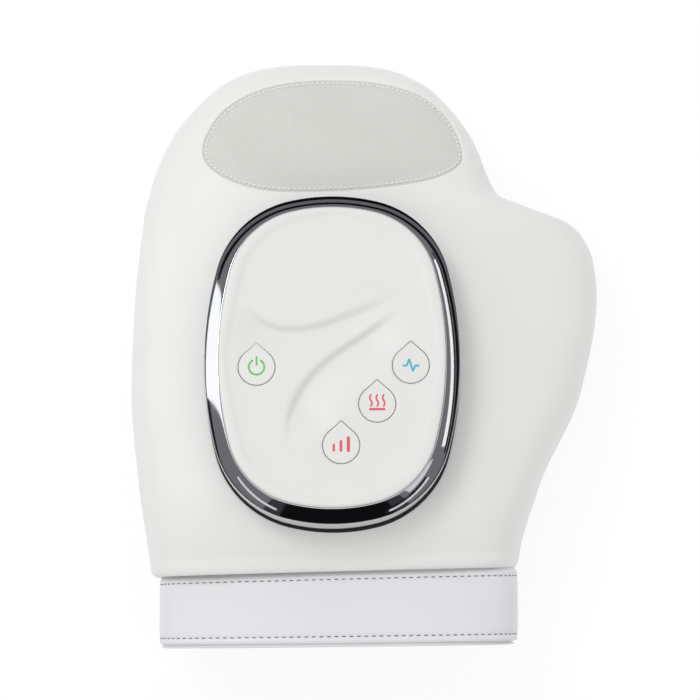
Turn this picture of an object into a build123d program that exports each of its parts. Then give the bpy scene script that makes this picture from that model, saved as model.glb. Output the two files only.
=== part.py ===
from build123d import *
from math import atan2, cos, degrees, hypot, pi, radians, sin, tan
import os

# A mitten-shaped hand massager. The hand goes in through a cuff at the wrist, into a fabric
# lining with air bags over and under it, a heating film, foam, and a leather skin in two panels.
# An oval control pod on the back of the hand holds the buttons, the circuit board, the battery,
# the air pump and the bleed valve.
# X points to the thumb, Y to the fingertips and Z up, away from the palm side, which is flat.
# The pod is modelled in a frame of its own, then tilted and set on the back of the hand.

# Sizes of the whole mitten
mitten_length = 250.0
mitten_width = 199.6
cuff_length = 33.0
spine_x = -16.0
seam_height = 28.0
body_start_y = cuff_length - mitten_length / 2
overrun = 5.0
layer_gap = 0.3

# Plan of the mitten, as (y, left x, right x) in shares of its length and width
plan_shares = [
    (-0.410, -0.450, 0.322),
    (-0.368, -0.4545, 0.3257),
    (-0.232, -0.481, 0.371),
    (-0.067, -0.499, 0.464),
    (0.098, -0.492, 0.500),
    (0.160, -0.485, 0.492),
    (0.201, -0.479, 0.468),
    (0.222, -0.476, 0.439),
    (0.244, -0.472, 0.361),
    (0.266, -0.465, 0.289),
    (0.292, -0.457, 0.270),
    (0.366, -0.418, 0.2325),
    (0.449, -0.332, 0.151),
    (0.473, -0.288, 0.107),
    (0.490, -0.236, 0.056),
    (0.498, -0.180, 0.000),
]
thumb_from_share = 0.300
thumb_to_share = 0.500

# Side view of the mitten
crown_height = 75.0
crown_slope = 6.5
shoulder_y = -58.0
shoulder_drop = 13.5
nose_start_y = 15.0
nose_power = 2.2
sole_depth = 30.0
toe_start_y = 55.0
toe_power = 3.0
upper_power = 3.2
lower_power = 2.6
thumb_power = 1.95
section_steps = 5

# Leather skin and the grey window over the fingertips
skin = 1.5
window_sink = 0.6
window_gap = 0.3
window_center_x = -13.6
window_center_y = 90.5
window_half_width = 54.8
window_half_length = 25.0
window_shares = [
    (-1.000, 0.080),
    (-0.920, 0.380),
    (-0.680, 0.700),
    (-0.330, 0.930),
    (0.020, 1.000),
    (0.400, 0.900),
    (0.700, 0.610),
    (0.900, 0.220),
    (0.990, -0.160),
    (0.950, -0.480),
    (0.740, -0.720),
    (0.360, -0.910),
    (-0.100, -1.000),
    (-0.500, -0.950),
    (-0.790, -0.690),
    (-0.960, -0.290),
]

# Cuff band, its padding and the mouth that the hand goes in by
cuff_center_x = -11.7
cuff_half_width = 76.4
cuff_bottom = 2.0
cuff_top = 68.5
cuff_power = 2.7
cuff_leather = 2.4

# Pocket for the hand and its thumb stall, as (y, centre x, half width, lowest z, highest z) in
# shares of the mitten's length, width and crown height
pocket_shares = [
    (-0.528, -0.06463, 0.33066, 0.1533, 0.7867),
    (-0.448, -0.06463, 0.32565, 0.1600, 0.7733),
    (-0.368, -0.07014, 0.31563, 0.1733, 0.7467),
    (-0.240, -0.09018, 0.29559, 0.1867, 0.7133),
    (-0.080, -0.10020, 0.28557, 0.1867, 0.6667),
    (0.080, -0.10020, 0.27555, 0.1867, 0.6133),
    (0.240, -0.09519, 0.24549, 0.2000, 0.5467),
    (0.336, -0.09018, 0.19539, 0.2267, 0.4933),
    (0.392, -0.08517, 0.12525, 0.2667, 0.4400),
]
pocket_scales = (mitten_length, mitten_width, mitten_width, crown_height, crown_height)
pocket_sections = [tuple(share * size for share, size in zip(row, pocket_scales)) for row in pocket_shares]
pocket_power = 2.5
stall_root_x = 4.0
stall_root_y = -52.0
stall_tip_x = 73.0
stall_tip_y = 29.0
stall_height = 31.0
stall_root_radius = 15.0
stall_tip_radius = 12.5
lining_cloth = 1.0
heater_film = 0.6
bag_thickness = 3.2
layer_start_y = -80.0
layer_end_y = 74.0
layer_parting = 5.0
heater_margin = 6.0

# Hoses and the heater lead that run between the pod and the layers
hose_radius = 2.0
hose_bore = 1.2
link_radius = 1.2
link_bore = 0.8
link_y = -38.0
lead_radius = 1.5
run_clearance = 0.4
arc_share = 0.45
lead_start_x = -38.6
lead_start_y = -6.0
lead_drop_z = -8.0
lead_exit_x = -56.0
lead_exit_z = -9.0
lead_y = -21.0
lead_points = [(-84.0, 54.5), (-90.0, 42.5), (-87.0, 31.0)]
bridge_low_y = -30.0
bridge_high_y = -12.0

# Place and outline of the control pod, as arcs of four circles with rounded corners
pod_x = -13.7
pod_y = -9.2
pod_z = 75.8
pod_tilt = 6.5
pod_width = 104.6
pod_length = 136.9
pod_side_radius = 150.0
pod_end_radius = 78.0
pod_corner_radius = 40.0

# Chrome trim ring
ring_height = 17.8
ring_wall_height = 13.0
ring_width = 5.9
ring_wall = 1.9
bevel_shares = [(0.0, 0.0), (0.12, 0.16), (0.34, 0.42), (0.64, 0.72), (0.88, 0.93), (1.0, 1.0)]

# Base tub of the pod, in its own frame
fit_gap = 0.15
collar_depth = 14.0
rim_inset = 2.1
rim_wall = 1.6
rim_height = 11.0
tub_inset = 5.0
tub_wall = 2.0
tub_depth = 15.5
floor_thickness = 2.0
clamp_plate_thickness = 2.2
clamp_plate_lip = 5.0
clamp_screw_shares = [(-0.72, 0.04), (0.72, 0.04), (-0.46, -0.77), (0.46, -0.77), (0.08, 0.72)]
clamp_boss_height = 6.0
clamp_screw_length = 7.0
gasket_width = 1.2
gasket_height = 1.2
boss_radius = 3.0
cover_boss_shares = [(-0.76, -0.35), (0.76, -0.35), (-0.62, 0.68), (0.62, 0.68)]
boss_split_z = 6.0
counterbore_z = -2.0

# Top cover of the pod
cover_rise = 0.9
cover_wall = 2.2
cover_edge_radius = 1.1
dish_inset = 3.4
dish_depth = 0.7
dish_slope = 1.4
skirt_inset = 0.6
skirt_depth = 4.5
skirt_wall = 1.6
crease_radius = 5.0
crease_depth = 0.75
crease_lift = 1.5
upper_crease_shares = [
    (-0.6788, 0.3141),
    (-0.5736, 0.2279),
    (-0.4398, 0.1753),
    (-0.2677, 0.1665),
    (-0.0880, 0.1914),
    (0.1434, 0.2571),
    (0.3748, 0.3302),
    (0.5354, 0.3798),
]
lower_crease_shares = [
    (0.5449, 0.3009),
    (0.3748, 0.2031),
    (0.2199, 0.1183),
    (0.0650, 0.0394),
    (-0.0727, -0.0453),
    (-0.2046, -0.1549),
    (-0.2983, -0.2776),
    (-0.3480, -0.4091),
    (-0.3595, -0.5551),
]

# Drop-shaped buttons
button_radius = 7.4
button_point = 9.8
button_point_radius = 0.5
button_gap = 0.25
button_proud = 0.25
button_flange = 1.2
button_flange_thickness = 1.2
button_flange_gap = 0.2
button_edge_radius = 0.3
button_stem_radius = 2.0
button_shares = {
    "power_button": (-0.5870, -0.0701),
    "mode_button": (0.6119, -0.0584),
    "heat_button": (0.3499, -0.2922),
    "level_button": (0.0707, -0.5405),
}

# Circuit board and switches
board_top = 9.4
board_thickness = 1.6
board_inset = 11.5
board_end_y = 12.5
board_corner_radius = 3.0
board_screw_shares = [(-0.22, 0.08), (0.22, 0.09), (-0.45, -0.55), (0.50, -0.58)]
switch_size = 6.0
switch_height = 2.2
plunger_radius = 1.2
plunger_gap = 0.1
plunger_rise = 0.9
plunger_sunk = 0.9
switch_floor = 0.6
post_radius = 2.6
screw_radius = 1.1
screw_gap = 0.05
screw_head_radius = 2.1
screw_head_height = 1.2
screw_head_gap = 0.2
board_screw_length = 5.0
cover_screw_length = 13.0
# Chips as (x, y, width, length, height) in shares of the pod's half width and half length, and of
# the switches' height
chip_shares = [
    (-0.115, -0.205, 0.172, 0.131, 0.55),
    (-0.344, -0.321, 0.096, 0.058, 0.45),
    (-0.076, -0.394, 0.076, 0.044, 0.64),
    (0.115, -0.058, 0.115, 0.073, 0.73),
    (-0.535, -0.351, 0.134, 0.073, 1.18),
    (-0.268, -0.672, 0.172, 0.073, 1.18),
]

# Battery pack
cell_radius = 9.2
cell_length = 65.0
cell_spacing = 19.0
cells_y = -27.5
cell_cap_radius = 3.0
cell_cap_height = 1.0
cell_lift = 1.0
tab_thickness = 0.4
tab_width = 7.0
saddle_width = 6.0
saddle_height = 7.0
saddle_margin = 1.2
saddle_gap = 0.1
cell_saddle_x = 20.0

# Air pump, lying across the pod
pump_y = 30.5
pump_z = -0.9
motor_radius = 10.8
motor_length = 29.0
motor_wall = 0.8
motor_x = -36.0
armature_radius = 6.6
armature_length = 17.0
armature_slots = 5
slot_width = 1.6
slot_depth = 3.0
magnet_thickness = 2.2
magnet_gap_angle = 40.0
magnet_margin = 2.0
shaft_radius = 1.0
shaft_end_gap = 0.4
bush_radius = 3.0
bush_length = 2.4
spin_gap = 0.05
run_gap = 0.5
crank_radius = 6.0
crank_length = 4.0
crank_throw = 2.2
crank_pin_radius = 1.0
crank_pin_length = 3.0
end_cap_length = 1.6
head_size = 21.6
head_length = 13.0
head_cavity_radius = 8.4
head_corner_radius = 3.0
diaphragm_thickness = 1.4
cup_radius = 2.9
cup_ring = 5.2
cup_depth = 3.0
cup_count = 3
rocker_radius = 8.0
rocker_thickness = 1.4
head_bore_clearance = 0.4
lid_length = 6.0
nozzle_length = 6.0
nozzle_wall = 0.5
motor_saddle_shift = 10.0

# Bleed valve and manifold
valve_x = -18.0
valve_y = 50.0
valve_size = 11.0
valve_length = 15.0
valve_wall = 1.2
coil_radius = 4.2
coil_bore = 1.7
core_radius = 1.6
core_travel = 0.8
core_end_gap = 0.2
valve_cap_radius = 4.0
valve_cap_length = 3.0
manifold_x = 22.6
manifold_size = 9.0
spigot_length = 4.0
pedestal_radius = 4.4
pedestal_width = 8.0

# Charging socket on its small board
socket_width = 8.94
socket_height = 3.26
socket_depth = 7.4
socket_wall = 0.3
socket_z = 4.1
socket_recess = 0.8
tongue_width = 6.6
tongue_thickness = 0.7
tongue_setback = 1.0
mouth_clearance = 0.25
socket_board_width = 14.0
socket_board_length = 8.6
socket_board_thickness = 1.2
socket_board_margin = 0.8
socket_post_radius = 1.5
socket_post_x = 4.6
socket_post_setback = 2.4

# Leads inside the pod
wire_radius = 0.8
tab_wire_radius = 0.6
tab_top_z = 1.0
motor_lead_x = -39.6
motor_lead_y = 26.5
motor_lead_end_y = 8.0
bridge_wire_z = 12.6
wire_landing_y = 9.5
valve_lead_x = -22.0
valve_lead_y = 43.4
socket_lead_x = 3.0
socket_lead_y = 52.0


def hermite(rows, column, y):
    """Reads a column of a table at y by a monotone cubic through its rows."""
    last = len(rows) - 1
    i = max(j for j in range(last) if j == 0 or rows[j][0] <= y)

    def step(j):
        return (rows[j + 1][column] - rows[j][column]) / (rows[j + 1][0] - rows[j][0])

    def slope(j):
        if j == 0:
            return step(0)
        if j == last:
            return step(last - 1)
        before, after = step(j - 1), step(j)
        return 0 if before * after <= 0 else 2 * before * after / (before + after)

    span = rows[i + 1][0] - rows[i][0]
    t = min(1, max(0, (y - rows[i][0]) / span))
    low, high = rows[i][column], rows[i + 1][column]
    blend = t * t * (3 - 2 * t)
    return low + (high - low) * blend + span * (slope(i) * t * (1 - t) ** 2 - slope(i + 1) * t * t * (1 - t))


def reach(y, column):
    """Plan x of the mitten's left side, column 1, or right side, column 2, at y."""
    return mitten_width * hermite(plan_shares, column, y / mitten_length)


def crown(y):
    """How far the mitten rises above its seam at y."""
    rise = crown_height - seam_height - tan(radians(crown_slope)) * y
    if y < shoulder_y:
        rise -= shoulder_drop * ((shoulder_y - y) / (shoulder_y - body_start_y)) ** 2
    if y > nose_start_y:
        t = (y - nose_start_y) / (mitten_length / 2 - nose_start_y)
        rise *= (1 - t**nose_power) ** (1 / nose_power)
    return rise


def sole(y):
    """How far the mitten reaches below its seam at y, before its sole is cut flat."""
    if y <= toe_start_y:
        return sole_depth
    t = (y - toe_start_y) / (mitten_length / 2 - toe_start_y)
    return sole_depth * (1 - t**toe_power) ** (1 / toe_power)


def mitten_point(y, angle):
    """A point of the mitten's outer surface: y along the hand, angle around the section."""
    c, s = cos(angle), sin(angle)
    power = upper_power if s >= 0 else lower_power
    side = reach(y, 2) - spine_x if c >= 0 else spine_x - reach(y, 1)
    if c >= 0:
        share = (reach(y, 2) / mitten_width - thumb_from_share) / (thumb_to_share - thumb_from_share)
        power += (thumb_power - power) * min(1, max(0, share))
    height = crown(y) if s >= 0 else sole(y)
    x = spine_x + (1 if c >= 0 else -1) * side * abs(c) ** (2 / power)
    z = seam_height + (1 if s >= 0 else -1) * height * abs(s) ** (2 / power)
    return Vector(x, y, z)


def mitten_normal(y, angle, turn=0.02, shift_share=0.0004):
    """Outward direction of the mitten's surface, from two short chords on it."""
    shift = shift_share * mitten_length
    along = mitten_point(y + shift, angle) - mitten_point(y - shift, angle)
    around = mitten_point(y, angle + turn) - mitten_point(y, angle - turn)
    return along.cross(around).normalized()


def mitten(inset):
    """The mitten as a closed solid, with its surface moved inward by inset and its sole flat."""
    stations = [mitten_length * row[0] for row in plan_shares]
    wires = []
    for y in stations:
        points = []
        for k in range(4 * section_steps):
            angle = 2 * pi * k / (4 * section_steps)
            point = mitten_point(y, angle)
            if inset:
                point = point - mitten_normal(y, angle) * inset
            if y == stations[0]:
                point = Vector(point.X, y, point.Z)
            if y == stations[-1]:
                point = Vector(point.X, y - inset, point.Z)
            points.append(point)
        wires.append(Wire([Edge.make_spline(points, periodic=True)]))
    solid = Solid.make_loft(wires, ruled=False)
    return solid - slab(z_high=inset)


def slab(x_low=None, x_high=None, y_low=None, y_high=None, z_low=None, z_high=None):
    """A block that is open-ended wherever no limit is given."""
    far = 2 * mitten_length
    low = Vector(*[-far if limit is None else limit for limit in (x_low, y_low, z_low)])
    high = Vector(*[far if limit is None else limit for limit in (x_high, y_high, z_high)])
    size = high - low
    return Pos(*((low + high) * 0.5)) * Box(size.X, size.Y, size.Z)


def window_face(inset):
    """Plan outline of the fingertip window, moved inward by inset."""
    half_width, half_length = window_half_width - inset, window_half_length - inset
    points = [Vector(half_width * u, half_length * v) for u, v in window_shares]
    face = make_face(Wire([Edge.make_spline(points, periodic=True)]))
    return Pos(window_center_x, window_center_y) * face


def ellipse_wire(y, center_x, half_width, low, high, power):
    """A closed superellipse in the plane of that y."""
    points = []
    for k in range(4 * section_steps):
        angle = 2 * pi * k / (4 * section_steps)
        c, s = cos(angle), sin(angle)
        x = center_x + (1 if c >= 0 else -1) * half_width * abs(c) ** (2 / power)
        z = (low + high) / 2 + (1 if s >= 0 else -1) * (high - low) / 2 * abs(s) ** (2 / power)
        points.append(Vector(x, y, z))
    return Wire([Edge.make_spline(points, periodic=True)])


def hand_space(grow):
    """The space for the palm and fingers, grown outward by grow."""
    wires = []
    for y, center_x, half_width, low, high in pocket_sections:
        place = y + grow if y == pocket_sections[-1][0] else y
        wires.append(ellipse_wire(place, center_x, half_width + grow, low - grow, high + grow, pocket_power))
    return Solid.make_loft(wires, ruled=False)


def thumb_stall(grow):
    """The tapered, round-ended space for the thumb, grown outward by grow."""
    run_x, run_y = stall_tip_x - stall_root_x, stall_tip_y - stall_root_y
    length = hypot(run_x, run_y)
    root_radius, tip_radius = stall_root_radius + grow, stall_tip_radius + grow
    with BuildPart() as stall:
        with BuildSketch(Plane.XY):
            with BuildLine():
                start = Line((0, 0), (root_radius, 0))
                side = Line(start @ 1, (tip_radius, length))
                tip = CenterArc((0, length), tip_radius, 0, 90)
                Line(tip @ 1, start @ 0)
            make_face()
        revolve(axis=Axis.Y)
    turn = degrees(atan2(run_y, run_x)) - 90
    return Pos(stall_root_x, stall_root_y, stall_height) * Rot(0, 0, turn) * stall.part


def pocket(grow):
    """The whole space for the hand, grown outward by grow."""
    return hand_space(grow) + thumb_stall(grow)


def pocket_left_x(y, z, grow):
    """Where the left side of the hand space, grown by grow, stands at that y and z."""
    center_x, half_width, low, high = (hermite(pocket_sections, column, y) for column in (1, 2, 3, 4))
    share = abs(z - (low + high) / 2) / ((high - low) / 2 + grow)
    return center_x - (half_width + grow) * (1 - share**pocket_power) ** (1 / pocket_power)


def cuff_ring(y_low, y_high, inset):
    """The cuff's cross-section, moved inward by inset, run from y_low to y_high."""
    half_width, low, high = cuff_half_width - inset, cuff_bottom + inset, cuff_top - inset
    wires = [ellipse_wire(y, cuff_center_x, half_width, low, high, cuff_power) for y in (y_low, y_high)]
    return Solid.make_loft(wires, ruled=True)


def pod_face(inset):
    """The pod's oval outline, moved inward by inset: four arcs with rounded corners."""
    side_x = pod_width / 2 - pod_side_radius
    end_y = pod_length / 2 - pod_end_radius
    side, end = pod_side_radius - inset, pod_end_radius - inset
    oval = (Pos(side_x, 0) * Circle(side)) & (Pos(-side_x, 0) * Circle(side))
    oval = oval & (Pos(0, end_y) * Circle(end)) & (Pos(0, -end_y) * Circle(end))
    return fillet(oval.vertices(), pod_corner_radius - inset)


def pod_block(inset, low, high):
    """A prism of the pod's outline between two heights of the pod's own frame."""
    return extrude(Pos(0, 0, low) * pod_face(inset), high - low)


def on_pod(shape):
    """Moves a shape from the pod's own frame to its place on the mitten."""
    return Pos(pod_x, pod_y, pod_z) * Rot(-pod_tilt, 0, 0) * shape


def pod_places(shares):
    """Points in the pod's frame from shares of its half width and half length."""
    return [(u * pod_width / 2, v * pod_length / 2) for u, v in shares]


def cylinder(x, y, low, high, radius):
    """An upright cylinder between two heights."""
    return Pos(x, y, (low + high) / 2) * Cylinder(radius, high - low)


def rod(low, high, radius, y, z):
    """A cylinder along X between two places."""
    return Pos((low + high) / 2, y, z) * Rot(0, 90, 0) * Cylinder(radius, high - low)


def drop_face(grow):
    """A drop: a circle drawn out to a point towards the fingertips."""
    edges = Edge.make_circle(button_radius + grow)
    tip = Edge.make_circle(button_point_radius + grow).moved(Pos(0, button_point - button_point_radius))
    return make_hull([edges, tip])


def pod_bevel(levels):
    """A solid whose pod outline steps through pairs of inset and height."""
    return loft([Pos(0, 0, z) * pod_face(inset) for inset, z in levels], ruled=True)


def pod_point(x, y, z):
    """Where a point of the pod's own frame stands on the mitten."""
    return (Pos(pod_x, pod_y, pod_z) * Rot(-pod_tilt, 0, 0) * Pos(x, y, z)).position


def block(x_low, x_high, y_low, y_high, z_low, z_high):
    """A box between two corners."""
    middle = Pos((x_low + x_high) / 2, (y_low + y_high) / 2, (z_low + z_high) / 2)
    return middle * Box(x_high - x_low, y_high - y_low, z_high - z_low)


def route(points):
    """A path of straight runs joined by arcs, each as large as its two runs allow."""
    points = [Vector(*p) for p in points]
    radii = []
    for before, corner, after in zip(points, points[1:], points[2:]):
        turn = radians((corner - before).get_angle(after - corner))
        shorter = min((corner - before).length, (after - corner).length)
        radii.append(arc_share * shorter / tan(turn / 2))
    print("route radii", [round(r, 1) for r in radii])
    return FilletPolyline(*points, radius=radii)


def tube(path, radius, bore=0):
    """A round tube along a path, hollow if a bore is given."""
    plane = Plane(origin=path @ 0, z_dir=path % 0)
    body = sweep(plane * Circle(radius), path=path)
    return body - sweep(plane * Circle(bore), path=path) if bore else body


def screw(x, y, z, length):
    """An upright screw whose head's top face is at z and whose shank points up."""
    head = cylinder(x, y, z - screw_head_height, z, screw_head_radius)
    return head + cylinder(x, y, z, z + length, screw_radius)


def saddle(x, y, floor_z, axis_z, radius, pitch=0, count=1):
    """A rubber saddle on the floor that carries round bodies lying along X."""
    half_length = pitch * (count - 1) / 2 + radius + saddle_margin
    low_x, high_x = x - saddle_width / 2, x + saddle_width / 2
    body = block(low_x, high_x, y - half_length, y + half_length, floor_z, floor_z + saddle_height)
    for k in range(count):
        place_y = y + pitch * (k - (count - 1) / 2)
        body = body - rod(x - saddle_width, x + saddle_width, radius + saddle_gap, place_y, axis_z)
    return body


def tub_floor():
    """Height of the tub's inner floor in the pod's frame."""
    return floor_thickness - tub_depth


def cover_field():
    """Height of the top cover's dished field."""
    return ring_height + cover_rise - dish_depth


def cover_under():
    """Height of the top cover's underside."""
    return cover_field() - cover_wall


# Skin, window and cuff
def build_skin():
    outer, inner = mitten(0), mitten(skin)
    shell = outer - inner - slab(y_high=body_start_y)
    window_cut = extrude(Pos(0, 0, seam_height) * window_face(0), crown_height)
    aperture = on_pod(pod_block(tub_inset - run_clearance, -tub_depth, ring_height))
    upper = (shell & slab(z_low=seam_height)) - window_cut - aperture
    lower = shell & slab(z_high=seam_height)
    cloth = mitten(window_sink) - inner
    cloth = cloth & extrude(Pos(0, 0, seam_height) * window_face(window_gap), crown_height)
    return {"upper_cover": upper, "lower_cover": lower, "finger_window": cloth}


def build_cuff(lining_outer):
    mouth_y = -mitten_length / 2
    band_end = body_start_y - layer_gap
    sleeve = cuff_ring(mouth_y, band_end, 0)
    sleeve = sleeve - cuff_ring(mouth_y + cuff_leather, band_end + overrun, cuff_leather)
    pad = cuff_ring(mouth_y + cuff_leather + layer_gap, band_end, cuff_leather + layer_gap)
    return {"cuff_band": sleeve - lining_outer, "cuff_pad": pad - lining_outer}


# Layers between the skin and the hand
def build_layers(lead_room, supply_room):
    heater_grow = lining_cloth + layer_gap
    bag_grow = heater_grow + heater_film + layer_gap
    bag_outer = bag_grow + bag_thickness
    foam_grow = bag_outer + layer_gap
    lining = pocket(lining_cloth) - pocket(0) - slab(y_high=-mitten_length / 2)
    stall = thumb_stall(heater_grow)
    zone = slab(y_low=layer_start_y, y_high=layer_end_y)
    back = slab(z_low=stall_height + layer_parting)
    palm = slab(z_high=stall_height - layer_parting)
    bridge = slab(x_high=spine_x, y_low=bridge_low_y, y_high=bridge_high_y)
    film_zone = slab(y_low=layer_start_y + heater_margin, y_high=layer_end_y - heater_margin)
    film = (hand_space(heater_grow + heater_film) - hand_space(heater_grow)) & film_zone
    film = (film & back) + (film & palm) + (film & bridge)
    bag = (hand_space(bag_outer) - hand_space(bag_grow)) & zone
    recess = pod_block(tub_inset - run_clearance, -tub_depth, ring_height)
    plate_low = -tub_depth - clamp_plate_thickness - layer_gap
    recess = recess + pod_block(tub_inset - clamp_plate_lip - layer_gap, plate_low, layer_gap - tub_depth)
    foam = mitten(skin + layer_gap) - slab(y_high=body_start_y)
    foam = foam - hand_space(foam_grow) - thumb_stall(heater_grow)
    foam = foam - on_pod(recess) - lead_room - supply_room
    return {
        "hand_lining": lining,
        "heating_film": film - stall,
        "back_air_bag": (bag & back) - stall,
        "palm_air_bag": (bag & palm) - stall,
        "upper_foam": foam & slab(z_low=seam_height + layer_gap),
        "lower_foam": foam & slab(z_high=seam_height),
    }


def link_hose():
    """The short hose beside the hand that joins the two air bags."""
    middle = lining_cloth + heater_film + 2 * layer_gap + bag_thickness / 2
    low, high = stall_height - layer_parting + layer_gap, stall_height + layer_parting - layer_gap
    x = pocket_left_x(link_y, low, middle)
    return cylinder(x, link_y, low, high, link_radius) - cylinder(x, link_y, low, high, link_bore)


def heater_lead_path():
    """The lead's way from the circuit board, out of the tub and round the edge of the back air bag."""
    film_x = pocket_left_x(lead_y, stall_height, lining_cloth + heater_film + 2 * layer_gap)
    start = pod_point(lead_start_x, lead_start_y, board_top - board_thickness - layer_gap)
    drop = pod_point(lead_start_x, lead_start_y, lead_drop_z)
    leave = pod_point(lead_exit_x, lead_start_y, lead_exit_z)
    outer = [Vector(x, lead_y, z) for x, z in lead_points]
    return route([start, drop, leave] + outer + [Vector(film_x, lead_y, stall_height)])


def supply_hose(grow, bore):
    """The upright hose from the manifold through the tub's floor to the back air bag."""
    top = pump_z - manifold_size / 2 - fit_gap
    hose = cylinder(manifold_x, valve_y, -collar_depth - tub_depth, top, hose_radius + grow)
    if bore:
        hose = hose - cylinder(manifold_x, valve_y, -collar_depth - tub_depth, top, bore)
    return on_pod(hose)


# Pod shells
def build_ring(grown):
    shoulder = ring_wall_height - ring_wall / 2
    rise = ring_height - ring_wall_height
    bevel = pod_bevel([(u * ring_width, ring_wall_height + v * rise) for u, v in bevel_shares])
    ring = pod_block(0, -collar_depth, ring_wall_height) + bevel
    ring = ring - pod_block(ring_wall, -collar_depth, shoulder)
    ring = ring - pod_bevel([(ring_wall, shoulder), (ring_width, ring_height - ring_wall)])
    ring = ring - pod_block(ring_width, ring_height - ring_wall, ring_height) - socket_slot()
    return on_pod(ring) - grown


def socket_slot():
    """The hole for the charging socket through the walls at the finger end."""
    half = socket_width / 2 + mouth_clearance
    rise = socket_height / 2 + mouth_clearance
    with BuildPart() as slot:
        with BuildSketch(Plane.XZ.offset(-pod_length / 2 - overrun)):
            with Locations((0, socket_z)):
                SlotOverall(2 * half, 2 * rise)
        extrude(amount=tub_inset + tub_wall + overrun)
    return slot.part


def build_base(grown, lead_room):
    shell = pod_block(tub_inset, -tub_depth, 0) + pod_block(rim_inset, 0, rim_height)
    inside = pod_block(tub_inset + tub_wall, tub_floor(), 0) + pod_block(rim_inset + rim_wall, 0, rim_height)
    collar = pod_block(rim_inset, -collar_depth, 0) - pod_block(tub_inset + tub_wall, -collar_depth, 0)
    body = shell - inside + [post & pod_block(tub_inset, -tub_depth, rim_height) for post in base_posts()]
    body = body - base_bores() - socket_slot()
    return on_pod(body) + (on_pod(collar) - grown) - lead_room


def base_posts():
    """What stands on the tub's floor: screw bosses, the socket board's posts and two pedestals."""
    floor = tub_floor()
    clamp_boss_top = floor + clamp_boss_height
    posts = [cylinder(x, y, floor, boss_split_z, boss_radius) for x, y in pod_places(cover_boss_shares)]
    posts += [cylinder(x, y, floor, clamp_boss_top, boss_radius) for x, y in pod_places(clamp_screw_shares)]
    under_board = socket_z - socket_height / 2 - socket_board_thickness
    for x in (-socket_post_x, socket_post_x):
        posts.append(cylinder(x, socket_post_y(), floor, under_board, socket_post_radius))
    posts.append(cylinder(manifold_x, valve_y, floor, pump_z - manifold_size / 2, pedestal_radius))
    half = pedestal_width / 2
    under_valve = pump_z - valve_size / 2
    posts.append(block(valve_x - half, valve_x + half, valve_y - half, valve_y + half, floor, under_valve))
    return posts


def base_bores():
    """Holes through the tub's floor for the supply hose and for both sets of screws."""
    clamp_bore_top = tub_floor() + clamp_boss_height - floor_thickness
    bores = [cylinder(manifold_x, valve_y, -tub_depth, pump_z, hose_radius + run_clearance)]
    for x, y in pod_places(cover_boss_shares):
        bores.append(cylinder(x, y, -tub_depth, counterbore_z, screw_head_radius + screw_head_gap))
        bores.append(cylinder(x, y, counterbore_z, boss_split_z, screw_radius + screw_head_gap))
    for x, y in pod_places(clamp_screw_shares):
        bores.append(cylinder(x, y, -tub_depth, clamp_bore_top, screw_radius + screw_gap))
    return bores


def build_cover():
    field, under = cover_field(), cover_under()
    inset = ring_width + fit_gap
    lip = ring_height + cover_rise
    body = pod_bevel([(inset, under), (inset, lip - cover_edge_radius), (inset + cover_edge_radius, lip)])
    dish = dish_inset + inset
    body = body - pod_bevel([(dish, lip), (dish + dish_slope, field)])
    skirt = inset + skirt_inset
    body = body + pod_block(skirt, under - skirt_depth, under)
    body = body - pod_block(skirt + skirt_wall, under - skirt_depth, under)
    body = body - crease(pod_places(upper_crease_shares)) - crease(pod_places(lower_crease_shares))
    bores = []
    cover_bore_top = counterbore_z + cover_screw_length + fit_gap
    for x, y in pod_places(cover_boss_shares):
        body = body + cylinder(x, y, boss_split_z, under, boss_radius)
        bores.append(cylinder(x, y, boss_split_z, cover_bore_top, screw_radius + screw_gap))
    for x, y in pod_places(board_screw_shares):
        body = body + cylinder(x, y, board_top, under, post_radius)
        bores.append(cylinder(x, y, board_top, board_screw_tip() + fit_gap, screw_radius + screw_gap))
    hole = extrude(drop_face(button_gap), lip - under)
    holes = [Pos(x, y, under) * hole for x, y in pod_places(button_shares.values())]
    return on_pod(body - bores - holes)


def crease(points):
    """A tool that presses a soft crease into the cover and fades out at both ends."""
    last = len(points) - 1
    rise = cover_field() + crease_radius - crease_depth
    path = Spline(*[(x, y, rise + crease_lift * (2 * i / last - 1) ** 2) for i, (x, y) in enumerate(points)])
    return tube(path, crease_radius)


def board_screw_tip():
    """Height that the tips of the circuit board's screws reach."""
    return board_top - board_thickness + board_screw_length


def build_pod_fasteners():
    plate_inset = tub_inset - clamp_plate_lip
    low = -tub_depth - clamp_plate_thickness
    seat = low + screw_head_height
    plate = pod_block(plate_inset, low, -tub_depth)
    plate = plate - cylinder(manifold_x, valve_y, low, -tub_depth, hose_radius + run_clearance)
    for x, y in pod_places(clamp_screw_shares):
        plate = plate - cylinder(x, y, low, seat, screw_head_radius + screw_head_gap)
        plate = plate - cylinder(x, y, seat, -tub_depth, screw_radius + screw_head_gap)
    gasket = pod_block(rim_inset, rim_height, rim_height + gasket_height)
    gasket = gasket - pod_block(rim_inset + gasket_width, rim_height, rim_height + gasket_height)
    return {
        "clamp_plate": on_pod(plate),
        "clamp_screws": on_pod(screws(clamp_screw_shares, seat, clamp_screw_length)),
        "cover_screws": on_pod(screws(cover_boss_shares, counterbore_z, cover_screw_length)),
        "ring_gasket": on_pod(gasket),
    }


def screws(shares, seat, length):
    """A set of upright screws with their heads' top faces at one height."""
    return group([screw(x, y, seat, length) for x, y in pod_places(shares)])


def group(shapes):
    """Several separate solids kept together."""
    return Compound(children=[solid for shape in shapes for solid in shape.solids()])


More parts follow.
